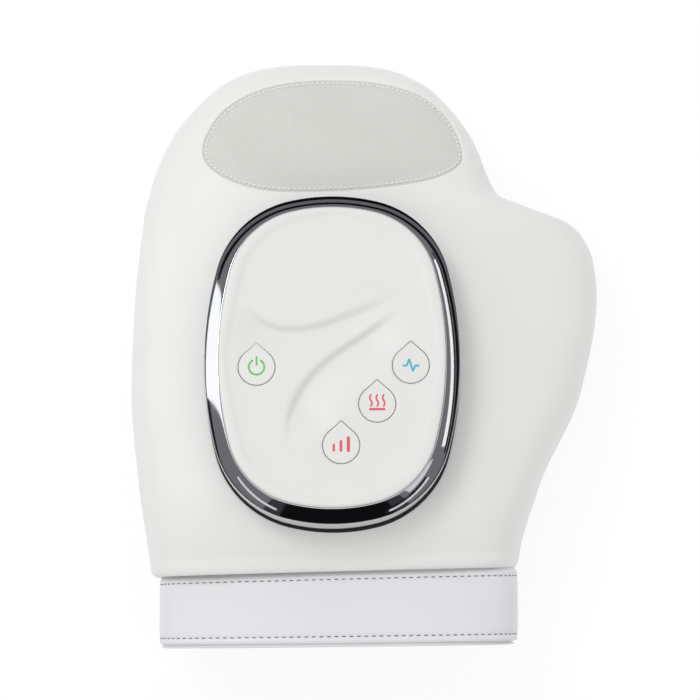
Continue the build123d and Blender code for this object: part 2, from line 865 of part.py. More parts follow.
# Buttons and switches
def build_buttons():
    parts = {}
    top, under = cover_field() + button_proud, cover_under()
    flange_top = under - button_flange_gap
    flange_low = flange_top - button_flange_thickness
    can_top = board_top + switch_height
    for name, (x, y) in zip(button_shares, pod_places(button_shares.values())):
        key = extrude(drop_face(0), top - flange_low)
        key = chamfer(key.faces().sort_by(Axis.Z)[-1].edges(), button_edge_radius)
        key = Pos(0, 0, flange_low) * key
        key = key + Pos(0, 0, flange_low) * extrude(drop_face(button_flange), button_flange_thickness)
        key = key + cylinder(0, 0, can_top + plunger_rise + plunger_gap, flange_low, button_stem_radius)
        pin = cylinder(0, 0, can_top - plunger_sunk, can_top + plunger_rise, plunger_radius)
        parts[name] = on_pod(Pos(x, y) * key)
        parts[name.replace("button", "plunger")] = on_pod(Pos(x, y) * pin)
    return parts


def build_board():
    under = board_top - board_thickness
    board = pod_block(board_inset, under, board_top)
    board = board - slab(y_low=board_end_y)
    corners = board.edges().filter_by(Axis.Z).sort_by(Axis.Y)[-2:]
    board = fillet(corners, board_corner_radius)
    for x, y in pod_places(board_screw_shares):
        board = board - cylinder(x, y, under, board_top, screw_radius + screw_head_gap)
    for x, y in pod_places(cover_boss_shares):
        board = board - cylinder(x, y, under, board_top, boss_radius + run_clearance)
    return {
        "main_board": on_pod(board),
        "board_chips": on_pod(group([chip(*shares) for shares in chip_shares])),
        "switch_cans": on_pod(group([switch_can(x, y) for x, y in pod_places(button_shares.values())])),
        "board_screws": on_pod(screws(board_screw_shares, under, board_screw_length)),
    }


def chip(x_share, y_share, width_share, length_share, height_share):
    """One chip on the circuit board."""
    x, y = x_share * pod_width / 2, y_share * pod_length / 2
    half_width, half_length = width_share * pod_width / 4, length_share * pod_length / 4
    top = board_top + height_share * switch_height
    return block(x - half_width, x + half_width, y - half_length, y + half_length, board_top, top)


def switch_can(x, y):
    """A switch's square can with the bore for its plunger."""
    half = switch_size / 2
    top = board_top + switch_height
    can = block(x - half, x + half, y - half, y + half, board_top, top)
    return can - cylinder(x, y, board_top + switch_floor, top, plunger_radius + plunger_gap)


# Battery pack
def build_battery():
    floor = tub_floor()
    axis_z = floor + cell_lift + cell_radius
    rows = (cells_y - cell_spacing / 2, cells_y + cell_spacing / 2)
    end = cell_length / 2
    cells = []
    for y, side in zip(rows, (-1, 1)):
        cap_low, cap_high = sorted((side * end, side * (end + cell_cap_height)))
        cap = rod(cap_low, cap_high, cell_cap_radius, y, axis_z)
        cells.append(rod(-end, end, cell_radius, y, axis_z) + cap)
    near, far = end + cell_cap_height, end + cell_cap_height + tab_thickness
    half = tab_width / 2
    tabs = [block(-far, -near, rows[0] - half, rows[1] + half, axis_z - half, axis_z + half)]
    tabs += [block(near, far, y - half, y + half, axis_z - half, tab_top_z) for y in rows]
    saddles = []
    for x in (-cell_saddle_x, cell_saddle_x):
        saddles.append(saddle(x, cells_y, floor, axis_z, cell_radius, cell_spacing, len(rows)))
    return {
        "battery_cells": on_pod(group(cells)),
        "battery_tabs": on_pod(group(tabs)),
        "battery_saddles": on_pod(group(saddles)),
    }


# Air pump
def build_motor():
    left, right = motor_x, motor_x + motor_length
    inner = motor_radius - motor_wall
    can = rod(left + end_cap_length, right, motor_radius, pump_y, pump_z)
    can = can - rod(left + end_cap_length, right - motor_wall, inner, pump_y, pump_z)
    can = can + rod(right - bush_length, right, bush_radius, pump_y, pump_z)
    can = can - rod(left, right, shaft_radius + spin_gap, pump_y, pump_z)
    cap = rod(left, left + end_cap_length, motor_radius, pump_y, pump_z)
    cap = cap + rod(left, left + end_cap_length + bush_length, bush_radius, pump_y, pump_z)
    cap = cap - rod(left + end_cap_length / 2, right, shaft_radius + spin_gap, pump_y, pump_z)
    low = left + end_cap_length + bush_length
    low_magnet, high_magnet = low + magnet_margin, right - bush_length - magnet_margin
    magnets = rod(low_magnet, high_magnet, inner, pump_y, pump_z)
    magnets = magnets - rod(low_magnet, high_magnet, inner - magnet_thickness, pump_y, pump_z)
    half_gap = inner * sin(radians(magnet_gap_angle / 2))
    gap_low, gap_high = pump_y - half_gap, pump_y + half_gap
    magnets = magnets - block(low, right, gap_low, gap_high, pump_z - inner, pump_z + inner)
    middle = (low_magnet + high_magnet) / 2
    core_low, core_high = middle - armature_length / 2, middle + armature_length / 2
    core = rod(core_low, core_high, armature_radius, pump_y, pump_z)
    slot_floor = armature_radius - slot_depth
    slot = block(core_low, core_high, -slot_width / 2, slot_width / 2, slot_floor, armature_radius)
    for k in range(armature_slots):
        core = core - Pos(0, pump_y, pump_z) * Rot(360 * k / armature_slots, 0, 0) * slot
    core = core - rod(core_low, core_high, shaft_radius, pump_y, pump_z)
    shaft_low = left + end_cap_length / 2 + shaft_end_gap
    shaft = rod(shaft_low, right + run_gap + crank_length / 2, shaft_radius, pump_y, pump_z)
    crank = rod(right + run_gap, right + run_gap + crank_length, crank_radius, pump_y, pump_z)
    crank = crank - rod(right, right + run_gap + crank_length / 2, shaft_radius, pump_y, pump_z)
    pin_low = right + run_gap + crank_length
    crank = crank + rod(pin_low, pin_low + crank_pin_length, crank_pin_radius, pump_y, pump_z + crank_throw)
    saddles = [
        saddle((left + right) / 2 + shift, pump_y, tub_floor(), pump_z, motor_radius)
        for shift in (-motor_saddle_shift, motor_saddle_shift)
    ]
    return {
        "motor_can": on_pod(can),
        "motor_end_cap": on_pod(cap),
        "motor_magnets": on_pod(magnets),
        "motor_armature": on_pod(core),
        "motor_shaft": on_pod(shaft),
        "pump_crank": on_pod(crank),
        "motor_saddles": on_pod(group(saddles)),
    }


def square_block(low, high):
    """A block across the pump's axis with the head's rounded square section."""
    section = RectangleRounded(head_size, head_size, head_corner_radius)
    return Pos(low, pump_y, pump_z) * Rot(0, 90, 0) * extrude(section, high - low)


def cup_places():
    """Places of the pump's cups around its axis, in Y and Z."""
    turns = [2 * pi * k / cup_count for k in range(cup_count)]
    return [(pump_y + cup_ring * sin(turn), pump_z + cup_ring * cos(turn)) for turn in turns]


def build_pump_head():
    low = motor_x + motor_length
    seal = low + head_length
    lid = seal + diaphragm_thickness
    end = lid + lid_length
    head = square_block(low, seal) - rod(low, seal, head_cavity_radius + head_bore_clearance, pump_y, pump_z)
    cups = square_block(seal, lid)
    rocker_high = seal - cup_depth
    rocker = rod(rocker_high - rocker_thickness, rocker_high, rocker_radius, pump_y, pump_z)
    cup_wall = diaphragm_thickness / 2
    for y, z in cup_places():
        cups = cups + rod(rocker_high, seal, cup_radius, y, z)
        cups = cups - rod(rocker_high + cup_wall, lid, cup_radius - cup_wall, y, z)
    nozzle_end, nozzle_bore = end + nozzle_length, hose_bore - nozzle_wall
    cover = square_block(lid, end) + rod(end, nozzle_end, hose_bore, pump_y, pump_z)
    cover = cover - rod(lid + diaphragm_thickness, nozzle_end, nozzle_bore, pump_y, pump_z)
    return {
        "pump_head": on_pod(head),
        "pump_diaphragm": on_pod(cups),
        "pump_rocker": on_pod(rocker),
        "pump_lid": on_pod(cover),
    }


# Bleed valve, manifold and hoses
def build_air_path():
    low, high = valve_x - valve_length / 2, valve_x + valve_length / 2
    half = valve_size / 2
    frame = block(low, high, valve_y - half, valve_y + half, pump_z - half, pump_z + half)
    inner = half - valve_wall
    coil_low, coil_high = low + valve_wall, high - valve_wall
    frame = frame - block(coil_low, coil_high, valve_y - half, valve_y + half, pump_z - inner, pump_z + inner)
    frame = frame - rod(coil_high, high, core_radius, valve_y, pump_z)
    coil = rod(coil_low, coil_high, coil_radius, valve_y, pump_z)
    coil = coil - rod(coil_low, coil_high, coil_bore, valve_y, pump_z)
    core_low = coil_low + core_travel + core_end_gap
    core = rod(core_low, coil_high - fit_gap, core_radius, valve_y, pump_z)
    cap_end = high + valve_cap_length
    spigot_end = cap_end + spigot_length
    cap = rod(high, cap_end, valve_cap_radius, valve_y, pump_z)
    cap = cap + rod(cap_end, spigot_end, hose_bore, valve_y, pump_z)
    cap = cap - rod(high, spigot_end, hose_bore - nozzle_wall, valve_y, pump_z)
    side = manifold_size / 2
    body = Pos(manifold_x, valve_y, pump_z) * Box(manifold_size, manifold_size, manifold_size)
    nozzle_x = motor_x + motor_length + head_length + diaphragm_thickness + lid_length
    valve_hose = rod(cap_end, manifold_x - side, hose_radius, valve_y, pump_z)
    valve_hose = valve_hose - rod(cap_end, manifold_x - side, hose_bore, valve_y, pump_z)
    corner = (manifold_x, pump_y, pump_z)
    feed_path = route([(nozzle_x, pump_y, pump_z), corner, (manifold_x, valve_y - side, pump_z)])
    feed = tube(feed_path, hose_radius, hose_bore)
    return {
        "valve_frame": on_pod(frame),
        "valve_coil": on_pod(coil),
        "valve_plunger": on_pod(core),
        "valve_cap": on_pod(cap),
        "manifold": on_pod(body - manifold_bores(side)),
        "valve_hose": on_pod(valve_hose),
        "pump_hose": on_pod(feed),
    }


def manifold_bores(side):
    """The three crossing air ways inside the manifold."""
    way = hose_bore
    return [
        rod(manifold_x - side, manifold_x, way, valve_y, pump_z),
        cylinder(manifold_x, valve_y, pump_z - side, pump_z, way),
        Pos(manifold_x, valve_y - side / 2, pump_z) * Rot(90, 0, 0) * Cylinder(way, side),
    ]


# Charging socket
def socket_post_y():
    """Where the posts of the socket's board stand along the pod."""
    return socket_board_end() - socket_board_length + socket_post_setback


def socket_board_end():
    """Finger end of the socket's board, just inside the base's rim."""
    return pod_length / 2 - rim_inset - rim_wall - socket_board_margin


def build_socket():
    front = pod_length / 2 - socket_recess
    back = front - socket_depth
    with BuildPart() as shell:
        with BuildSketch(Plane.XZ.offset(-front)):
            with Locations((0, socket_z)):
                SlotOverall(socket_width, socket_height)
        extrude(amount=socket_depth)
        with BuildSketch(Plane.XZ.offset(-front)):
            with Locations((0, socket_z)):
                SlotOverall(socket_width - 2 * socket_wall, socket_height - 2 * socket_wall)
        extrude(amount=socket_depth - socket_wall, mode=Mode.SUBTRACT)
    half = tongue_width / 2
    rise = tongue_thickness / 2
    tongue = block(-half, half, back, front - tongue_setback, socket_z - rise, socket_z + rise)
    top = socket_z - socket_height / 2
    end = socket_board_end()
    half_board = socket_board_width / 2
    start, under = end - socket_board_length, top - socket_board_thickness
    board = block(-half_board, half_board, start, end, under, top)
    return {"charge_socket": on_pod(shell.part + tongue), "socket_board": on_pod(board)}


# Leads inside the pod
def build_leads():
    under = board_top - board_thickness
    rows = (cells_y - cell_spacing / 2, cells_y + cell_spacing / 2)
    tab_x = cell_length / 2 + cell_cap_height + tab_thickness / 2
    leads = [cylinder(tab_x, y, tab_top_z, under, tab_wire_radius) for y in rows]
    motor = route(
        [
            (motor_x, motor_lead_y, pump_z),
            (motor_lead_x, motor_lead_y, pump_z),
            (motor_lead_x, motor_lead_end_y, pump_z),
            (motor_lead_x, motor_lead_end_y, under),
        ]
    )
    coil_front = valve_y - coil_radius
    valve = route(
        [
            (valve_lead_x, coil_front, pump_z),
            (valve_lead_x, valve_lead_y, pump_z),
            (valve_lead_x, valve_lead_y, bridge_wire_z),
            (valve_lead_x, wire_landing_y, bridge_wire_z),
            (valve_lead_x, wire_landing_y, board_top),
        ]
    )
    socket_start = socket_board_end() - socket_board_length
    socket_level = socket_z - (socket_height + socket_board_thickness) / 2
    socket = route(
        [
            (socket_lead_x, socket_start, socket_level),
            (socket_lead_x, socket_lead_y, socket_level),
            (socket_lead_x, socket_lead_y, bridge_wire_z),
            (socket_lead_x, wire_landing_y, bridge_wire_z),
            (socket_lead_x, wire_landing_y, board_top),
        ]
    )
    leads += [tube(path, wire_radius) for path in (motor, valve, socket)]
    return {"board_leads": on_pod(group(leads))}


def main():
    os.makedirs("parts", exist_ok=True)
    grown = mitten(-layer_gap)
    lead_path = heater_lead_path()
    lead_room = tube(lead_path, lead_radius + run_clearance)
    bag_outer = hand_space(lining_cloth + heater_film + 2 * layer_gap + bag_thickness + layer_gap)
    parts = build_skin()
    parts.update(build_cuff(pocket(lining_cloth + layer_gap)))
    parts.update(build_layers(lead_room, supply_hose(run_clearance, 0)))
    parts["link_hose"] = link_hose()
    parts["heater_lead"] = tube(lead_path, lead_radius)
    parts["supply_hose"] = supply_hose(0, hose_bore) - bag_outer
    parts["trim_ring"] = build_ring(grown)
    parts["pod_base"] = build_base(grown, lead_room)
    parts["top_cover"] = build_cover()
    parts.update(build_pod_fasteners())
    parts.update(build_buttons())
    parts.update(build_board())
    parts.update(build_battery())
    parts.update(build_motor())
    parts.update(build_pump_head())
    parts.update(build_air_path())
    parts.update(build_socket())
    parts.update(build_leads())
    for name, shape in parts.items():
        print(name, len(shape.solids()), round(shape.volume), shape.is_valid)
        export_step(shape, f"parts/{name}.step")
    print(len(parts), "sub-parts")


main()
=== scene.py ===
# %% [markdown]
# A hand massager: a leather mitten that lies on a table, with a chrome-ringed control pod on the back of the hand.
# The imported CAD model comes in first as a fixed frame. Every piece made below sits in that frame and rides on one
# of its bodies, so nothing needs to be fitted afterwards.

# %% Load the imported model
import bpy
import bmesh
import math
import numpy as np
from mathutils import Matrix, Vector
from mathutils.geometry import delaunay_2d_cdt


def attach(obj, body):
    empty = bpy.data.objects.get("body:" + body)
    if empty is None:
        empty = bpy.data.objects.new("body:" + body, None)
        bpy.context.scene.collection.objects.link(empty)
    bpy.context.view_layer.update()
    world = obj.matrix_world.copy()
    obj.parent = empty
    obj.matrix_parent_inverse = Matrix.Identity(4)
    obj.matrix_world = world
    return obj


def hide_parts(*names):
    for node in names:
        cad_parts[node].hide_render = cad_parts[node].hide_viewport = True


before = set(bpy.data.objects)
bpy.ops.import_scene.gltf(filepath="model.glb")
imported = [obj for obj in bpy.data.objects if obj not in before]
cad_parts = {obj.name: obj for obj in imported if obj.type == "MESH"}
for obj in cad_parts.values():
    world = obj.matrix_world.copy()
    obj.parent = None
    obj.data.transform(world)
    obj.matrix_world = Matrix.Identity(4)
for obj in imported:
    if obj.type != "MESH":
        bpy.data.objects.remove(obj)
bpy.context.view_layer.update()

MM = 0.001

# %% [markdown]
# A few helpers carry the script. One adds a node to any tree with its settings and links, for materials and for
# Geometry Nodes alike. The others turn points in millimetres and faces into a smooth mesh, edit a mesh in place, or
# keep what modifiers make as plain mesh.

# %% Helpers for nodes and meshes


def node(tree, kind, inputs=None, **settings):
    """Adds a node. Inputs take a value or another node's output socket."""
    made = tree.nodes.new(kind)
    for key, value in settings.items():
        setattr(made, key, value)
    for key, value in (inputs or {}).items():
        if isinstance(value, bpy.types.NodeSocket):
            tree.links.new(value, made.inputs[key])
        else:
            made.inputs[key].default_value = value
    return made


def empty_tree(data):
    """The node tree of a new material or world, emptied."""
    data.use_nodes = True
    data.node_tree.nodes.clear()
    return data.node_tree


def add_object(name, data):
    obj = bpy.data.objects.new(name, data)
    bpy.context.scene.collection.objects.link(obj)
    return obj


def coat(obj, material):
    """Makes a material the only one on an object."""
    obj.data.materials.clear()
    obj.data.materials.append(material)


def mesh_object(name, points, faces, material=None):
    """A smooth mesh object from points in millimetres."""
    mesh = bpy.data.meshes.new(name)
    mesh.from_pydata([tuple(float(c) * MM for c in p) for p in points], [], [tuple(map(int, f)) for f in faces])
    mesh.validate()
    mesh.polygons.foreach_set("use_smooth", [True] * len(mesh.polygons))
    if material:
        mesh.materials.append(material)
    return add_object(name, mesh)


def edit_mesh(obj, change):
    """Applies a change to an object's mesh."""
    shell = bmesh.new()
    shell.from_mesh(obj.data)
    change(shell)
    shell.to_mesh(obj.data)
    shell.free()


def face_outward(shell):
    bmesh.ops.recalc_face_normals(shell, faces=shell.faces)


def freeze(obj):
    """Turns what the modifiers make into the object's own plain mesh."""
    graph = bpy.context.evaluated_depsgraph_get()
    mesh = bpy.data.meshes.new_from_object(obj.evaluated_get(graph))
    obj.modifiers.clear()
    obj.data = mesh


def grid_faces(rows, columns, closed=False, wrap=False, flip=False):
    """Quads of points that come row by row. Closed joins the last column to the first, wrap the last row."""
    faces = []
    for r in range(rows if wrap else rows - 1):
        low, high = r * columns, (r + 1) % rows * columns
        for c in range(columns if closed else columns - 1):
            d = (c + 1) % columns
            quad = (low + c, low + d, high + d, high + c)
            faces.append(quad[::-1] if flip else quad)
    return faces


print("a grid of 3 x 3 points has", len(grid_faces(3, 3)), "faces")

# %% [markdown]
# Colours are written as sRGB hex, the way a swatch is read off, and one function turns them to the linear values
# that the shader wants. Every recipe ends the same way: a pattern runs between two tones and a pattern raises the
# surface. Most hard finishes differ only in tone, gloss and the size of their grain, so one recipe serves them.

# %% Colour and the general recipe for a finish


def paint(code):
    """Linear colour of an sRGB hex code."""
    parts = [int(code[i : i + 2], 16) / 255 for i in (0, 2, 4)]
    return (*[c / 12.92 if c <= 0.04045 else ((c + 0.055) / 1.055) ** 2.4 for c in parts], 1.0)


def new_material(name):
    """A material with an empty tree, and the object coordinates that its patterns read."""
    material = bpy.data.materials.new(name)
    tree = empty_tree(material)
    return material, tree, node(tree, "ShaderNodeTexCoord").outputs["Object"]


def finish(material, pattern, tones, height, depth_mm, surface):
    """Ends a recipe. Without tones the pattern is a colour already."""
    tree = material.node_tree
    if tones:
        ramp = node(tree, "ShaderNodeValToRGB", {"Fac": pattern})
        for stop, code in zip(ramp.color_ramp.elements, tones):
            stop.color = paint(code)
        pattern = ramp.outputs["Color"]
    relief = node(tree, "ShaderNodeBump", {"Height": height, "Distance": depth_mm * MM, "Strength": 1.0})
    shader = node(tree, "ShaderNodeBsdfPrincipled", {"Base Color": pattern, "Normal": relief.outputs[0], **surface})
    node(tree, "ShaderNodeOutputMaterial", {"Surface": shader.outputs[0]})
    return material


def plain_finish(name, low, high, grain_mm, depth_mm, gloss, metal=0.0):
    """A finish whose colour drifts between two tones over 14 mm, with a grain of a real size."""
    material, tree, place = new_material(name)
    drift = node(tree, "ShaderNodeTexNoise", {"Vector": place, "Scale": 1 / (14 * MM), "Detail": 2.0})
    grain = node(tree, "ShaderNodeTexNoise", {"Vector": place, "Scale": 1 / (grain_mm * MM), "Detail": 3.0})
    spread = {"Value": grain.outputs["Fac"], "To Min": max(0.02, gloss - 0.05), "To Max": gloss + 0.05}
    surface = {"Roughness": node(tree, "ShaderNodeMapRange", spread).outputs[0], "Metallic": metal}
    return finish(material, drift.outputs["Fac"], (low, high), grain.outputs["Fac"], depth_mm, surface)


print("mid grey 808080 is", round(paint("808080")[0], 3), "in linear light")

# %% [markdown]
# The mitten's skin is a polyurethane leather: a soft white coat embossed with a fine pebble, laid over foam. Rounded
# cells of about a millimetre make the pebble, and a slow drift in tone keeps the large white areas from looking like
# plastic. The cuff is cut from the same hide in a cooler white.

# %% Leather
PEBBLE_MM = 1.1


def leather_finish(name, low, high, gloss):
    material, tree, place = new_material(name)
    drift = node(tree, "ShaderNodeTexNoise", {"Vector": place, "Scale": 1 / (40 * MM), "Detail": 3.0})
    cells = {"Vector": place, "Scale": 1 / (PEBBLE_MM * MM)}
    pebble = node(tree, "ShaderNodeTexVoronoi", cells, feature="SMOOTH_F1").outputs["Distance"]
    folds = node(tree, "ShaderNodeTexNoise", {"Vector": place, "Scale": 1 / (6 * MM), "Detail": 6.0}).outputs["Fac"]
    height = node(tree, "ShaderNodeMath", {0: pebble, 1: 0.5, 2: folds}, operation="MULTIPLY_ADD").outputs[0]
    rough = node(tree, "ShaderNodeMapRange", {"Value": pebble, "To Min": gloss - 0.04, "To Max": gloss + 0.06})
    surface = {"Roughness": rough.outputs[0]}
    return finish(material, drift.outputs["Fac"], (low, high), height, 0.035, surface)


FINISHES = {
    "leather": leather_finish("white_pu_leather", "E3E3E1", "E8E8E6", 0.46),
    "cuff_leather": leather_finish("cool_white_pu_leather", "DEDEE1", "E3E3E6", 0.44),
}
print("the leather's pebble is", PEBBLE_MM, "mm wide")

# %% [markdown]
# The window over the fingertips is a grey warp-knit mesh fabric. Two crossed waves at the thread spacing give the
# knit, drawn at 0.9 mm so that it still shows at this camera's distance. A little sheen stands for its loose fibre.
# Thread, a printed heater and a copper winding all show even bands, so one recipe serves the three.

# %% Fabrics, thread and other banded finishes
WAVE_SCALE = 0.314  # a wave pattern with this scale repeats once a unit


def cloth_finish(name, low, high, pitch_mm, depth_mm, gloss, sheen):
    material, tree, place = new_material(name)
    bands = {"Vector": place, "Scale": WAVE_SCALE / (pitch_mm * MM), "Distortion": 0.6, "Detail": 1.0}
    warp, weft = (node(tree, "ShaderNodeTexWave", bands, bands_direction=way).outputs["Fac"] for way in "XY")
    knit = node(tree, "ShaderNodeMath", {0: warp, 1: weft}, operation="MULTIPLY").outputs[0]
    drift = node(tree, "ShaderNodeTexNoise", {"Vector": place, "Scale": 1 / (25 * MM), "Detail": 4.0})
    parts = {0: knit, 1: 0.55, 2: drift.outputs["Fac"]}
    mixed = node(tree, "ShaderNodeMath", parts, operation="MULTIPLY_ADD").outputs[0]
    return finish(material, mixed, (low, high), knit, depth_mm, {"Roughness": gloss, "Sheen Weight": sheen})


def banded_finish(name, low, high, pitch_mm, way, depth_mm, gloss, metal=0.0, distortion=0.0):
    """Even bands: the ply of a thread, the tracks of a heater, the turns of a winding."""
    material, tree, place = new_material(name)
    bands = {"Vector": place, "Scale": WAVE_SCALE / (pitch_mm * MM), "Distortion": distortion}
    wave = node(tree, "ShaderNodeTexWave", bands, bands_direction=way).outputs["Fac"]
    return finish(material, wave, (low, high), wave, depth_mm, {"Roughness": gloss, "Metallic": metal})


FINISHES |= {
    "window_fabric": cloth_finish("grey_knit_mesh", "C9C8C3", "D4D3CE", 0.9, 0.10, 0.75, 0.15),
    "lining": cloth_finish("white_tricot_lining", "DADAD8", "E4E4E2", 1.2, 0.08, 0.8, 0.2),
    "heater_film": banded_finish("carbon_heating_film", "3A3431", "B98C52", 5, "Y", 0.03, 0.4, distortion=1.5),
    "copper": banded_finish("enamelled_copper_wire", "7E3F1E", "C77B45", 0.4, "X", 0.1, 0.35, metal=1.0),
}
THREADS = {
    tone: banded_finish(tone + "_polyester_thread", low, high, 0.35, "DIAGONAL", 0.05, 0.6)
    for tone, low, high in (("white", "E6E6E2", "F4F4F1"), ("grey", "6C6C72", "84848A"))
}
print("finishes so far:", ", ".join([*FINISHES, *THREADS]))

# %% [markdown]
# Chrome plating is almost a mirror, so it needs no pattern of its own, only the faint unevenness of plating over a
# moulding. The pod's cover and keys are satin ABS: low gloss with an erosion texture far too fine to see, drawn a
# little coarser here. The pieces inside never show in the photograph, but each gets the finish of the real part for
# when the pod is opened. Each row gives a name, two tones, the grain and its depth in millimetres, gloss and metal.

# %% Plain finishes
PLAIN_FINISHES = {
    "chrome": ("bright_chrome_plating", "D6D8DB", "DEE0E2", 9.0, 0.004, 0.06, 1.0),
    "white_abs": ("satin_white_abs", "DCDCDA", "DFDFDD", 0.5, 0.006, 0.42),
    "key_plastic": ("satin_white_key_plastic", "DCDCDA", "DFDFDD", 0.5, 0.005, 0.38),
    "base_abs": ("plain_white_abs", "D4D4D0", "DADAD6", 0.6, 0.01, 0.45),
    "green_ink": ("green_pad_print", "5DBB55", "66C25E", 0.4, 0.004, 0.4),
    "blue_ink": ("blue_pad_print", "3DA9CC", "46B0D2", 0.4, 0.004, 0.4),
    "red_ink": ("red_pad_print", "D8505A", "DD5963", 0.4, 0.004, 0.4),
    "foam": ("open_cell_foam", "D9D2BC", "E6E0CC", 0.8, 0.25, 0.9),
    "air_bag_film": ("welded_tpu_film", "AEB6BB", "C2C8CC", 1.5, 0.03, 0.3),
    "black_plastic": ("black_moulded_plastic", "171718", "1F1F21", 0.6, 0.01, 0.42),
    "steel": ("zinc_plated_steel", "A9ABAE", "BDBFC2", 0.7, 0.01, 0.3, 1.0),
    "nickel": ("nickel_strip", "B8B3A6", "C9C4B8", 0.5, 0.01, 0.28, 1.0),
    "magnet": ("sintered_ferrite", "2B2B2D", "38383B", 0.5, 0.02, 0.6),
    "cell_wrap": ("blue_shrink_film", "2A6AA6", "3174B2", 3.0, 0.01, 0.3),
    "rubber": ("black_moulded_rubber", "222223", "2C2C2D", 0.6, 0.03, 0.7),
    "hose": ("clear_silicone_hose", "D5D6D0", "E2E2DD", 1.0, 0.01, 0.35),
    "lead": ("red_pvc_lead", "A82C28", "BD3A34", 0.8, 0.01, 0.45),
    "nylon": ("natural_nylon", "DDD8C8", "E8E4D6", 0.6, 0.01, 0.4),
}
FINISHES |= {slot: plain_finish(*recipe) for slot, recipe in PLAIN_FINISHES.items()}
print(len(PLAIN_FINISHES), "plain finishes")

# %% [markdown]
# The circuit board is solder mask over copper ways. A brick pattern 2.4 mm long draws the ways and pads in one go.
# With that last finish made, every CAD node takes the finish of its record slot.

# %% Circuit board, and finishes for the CAD nodes
board, tree, place = new_material("green_solder_mask")
bricks = {"Vector": place, "Scale": 1 / (4.8 * MM), "Mortar Size": 0.03}
bricks |= {"Color1": paint("1E6B3F"), "Color2": paint("1A5E38"), "Mortar": paint("3F8F5A")}
ways = node(tree, "ShaderNodeTexBrick", bricks).outputs
FINISHES["board"] = finish(board, ways["Color"], None, ways["Fac"], 0.03, {"Roughness": 0.35})
used = set()
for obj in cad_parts.values():
    slots = [m.name.split(".")[0] for m in obj.data.materials if m] or ["none"]
    used.add(slots[0])
    coat(obj, FINISHES.get(slots[0], FINISHES["base_abs"]))
print("CAD slots", sorted(used))

# %% [markdown]
# The mitten's skin follows a rule. In plan its two sides are smooth curves through a short table, its crown falls
# towards the fingers and rounds over at the nose, and each cross-section is a superellipse, flat where it lies on the
# table. The sizes are the CAD's but for the wrist's joint, which sits 1 to 3 mm away from the CAD's. Every leather
# and fabric piece reads the rule.

# %% The mitten's shape
LENGTH, WIDTH = 250.0, 199.6
SPINE_X, SEAM_Z, TOP_Z = -16.0, 28.0, 75.0
BODY_START_Y, WRIST_Y, TIP_Y = -92.0, -94.3, 125.13
WRIST_FALL_Y, CROWN_ROUND_Y, SOLE_ROUND_Y = -58, 15, 55
CROWN_POWER, SOLE_POWER = 2.2, 3
SOLE_DEPTH, WRIST_FALL = 30, 13.5
TILT = math.radians(6.5)
# Rows of y, left side and right side, as shares of the length and the width.
PLAN = [
    (-0.410, -0.450, 0.322), (-0.368, -0.4545, 0.3257), (-0.232, -0.481, 0.371), (-0.067, -0.499, 0.464),
    (0.098, -0.492, 0.500), (0.160, -0.485, 0.492), (0.201, -0.479, 0.468), (0.222, -0.476, 0.439),
    (0.244, -0.472, 0.361), (0.266, -0.465, 0.289), (0.292, -0.457, 0.270), (0.366, -0.418, 0.2325),
    (0.449, -0.332, 0.151), (0.473, -0.288, 0.107), (0.490, -0.236, 0.056), (0.498, -0.180, 0.000),
    (TIP_Y / LENGTH, -0.090, -0.090),
]


def monotone(rows, column, y):
    """Reads a column of a table at y by a monotone cubic through its rows."""
    last = len(rows) - 1
    i = max(j for j in range(last) if j == 0 or rows[j][0] <= y)
    step = lambda j: (rows[j + 1][column] - rows[j][column]) / (rows[j + 1][0] - rows[j][0])

    def slope(j):
        if j in (0, last):
            return step(min(j, last - 1))
        before, after = step(j - 1), step(j)
        return 0 if before * after <= 0 else 2 * before * after / (before + after)

    span = rows[i + 1][0] - rows[i][0]
    t = min(1, max(0, (y - rows[i][0]) / span))
    low, high = rows[i][column], rows[i + 1][column]
    ease = t * t * (3 - 2 * t)
    return low + (high - low) * ease + span * (slope(i) * t * (1 - t) ** 2 - slope(i + 1) * t * t * (1 - t))


def crown(y):
    """Height of the mitten above its seam."""
    rise = TOP_Z - SEAM_Z - math.tan(TILT) * y
    if y < WRIST_FALL_Y:
        rise -= WRIST_FALL * ((WRIST_FALL_Y - y) / (WRIST_FALL_Y - BODY_START_Y)) ** 2
    return rise * rounding(y, CROWN_ROUND_Y, CROWN_POWER)


def rounding(y, start, power):
    """1 up to a place, then down to 0 at the nose along a quarter of a superellipse."""
    return 1 if y <= start else max(0, 1 - ((y - start) / (TIP_Y - start)) ** power) ** (1 / power)


Y_TABLE = np.concatenate([np.linspace(WRIST_Y, 99.9, 800), TIP_Y - 25.13 * (1 - np.linspace(0, 1, 500)) ** 2])
LEFT, RIGHT = (np.array([WIDTH * monotone(PLAN, k, y / LENGTH) for y in Y_TABLE]) for k in (1, 2))
CROWN = np.array([crown(y) for y in Y_TABLE])
SOLE = np.array([SOLE_DEPTH * rounding(y, SOLE_ROUND_Y, SOLE_POWER) for y in Y_TABLE])
THUMB = np.clip((RIGHT / WIDTH - 0.3) / 0.2, 0, 1)
V_TABLE = np.concatenate([[0], np.cumsum(np.hypot(np.diff(Y_TABLE), np.diff(CROWN)))])
print("the skin runs", round(float(V_TABLE[-1])), "mm over the crown")

# %% [markdown]
# A point on the skin is found from its angle round the section and its distance v along the crown. Using an angle in
# polar form keeps the points evenly spread. At the wrist the leather rolls over a soft edge into the cuff's joint,
# which slants a little towards the thumb, and near the table the surface flattens onto it.

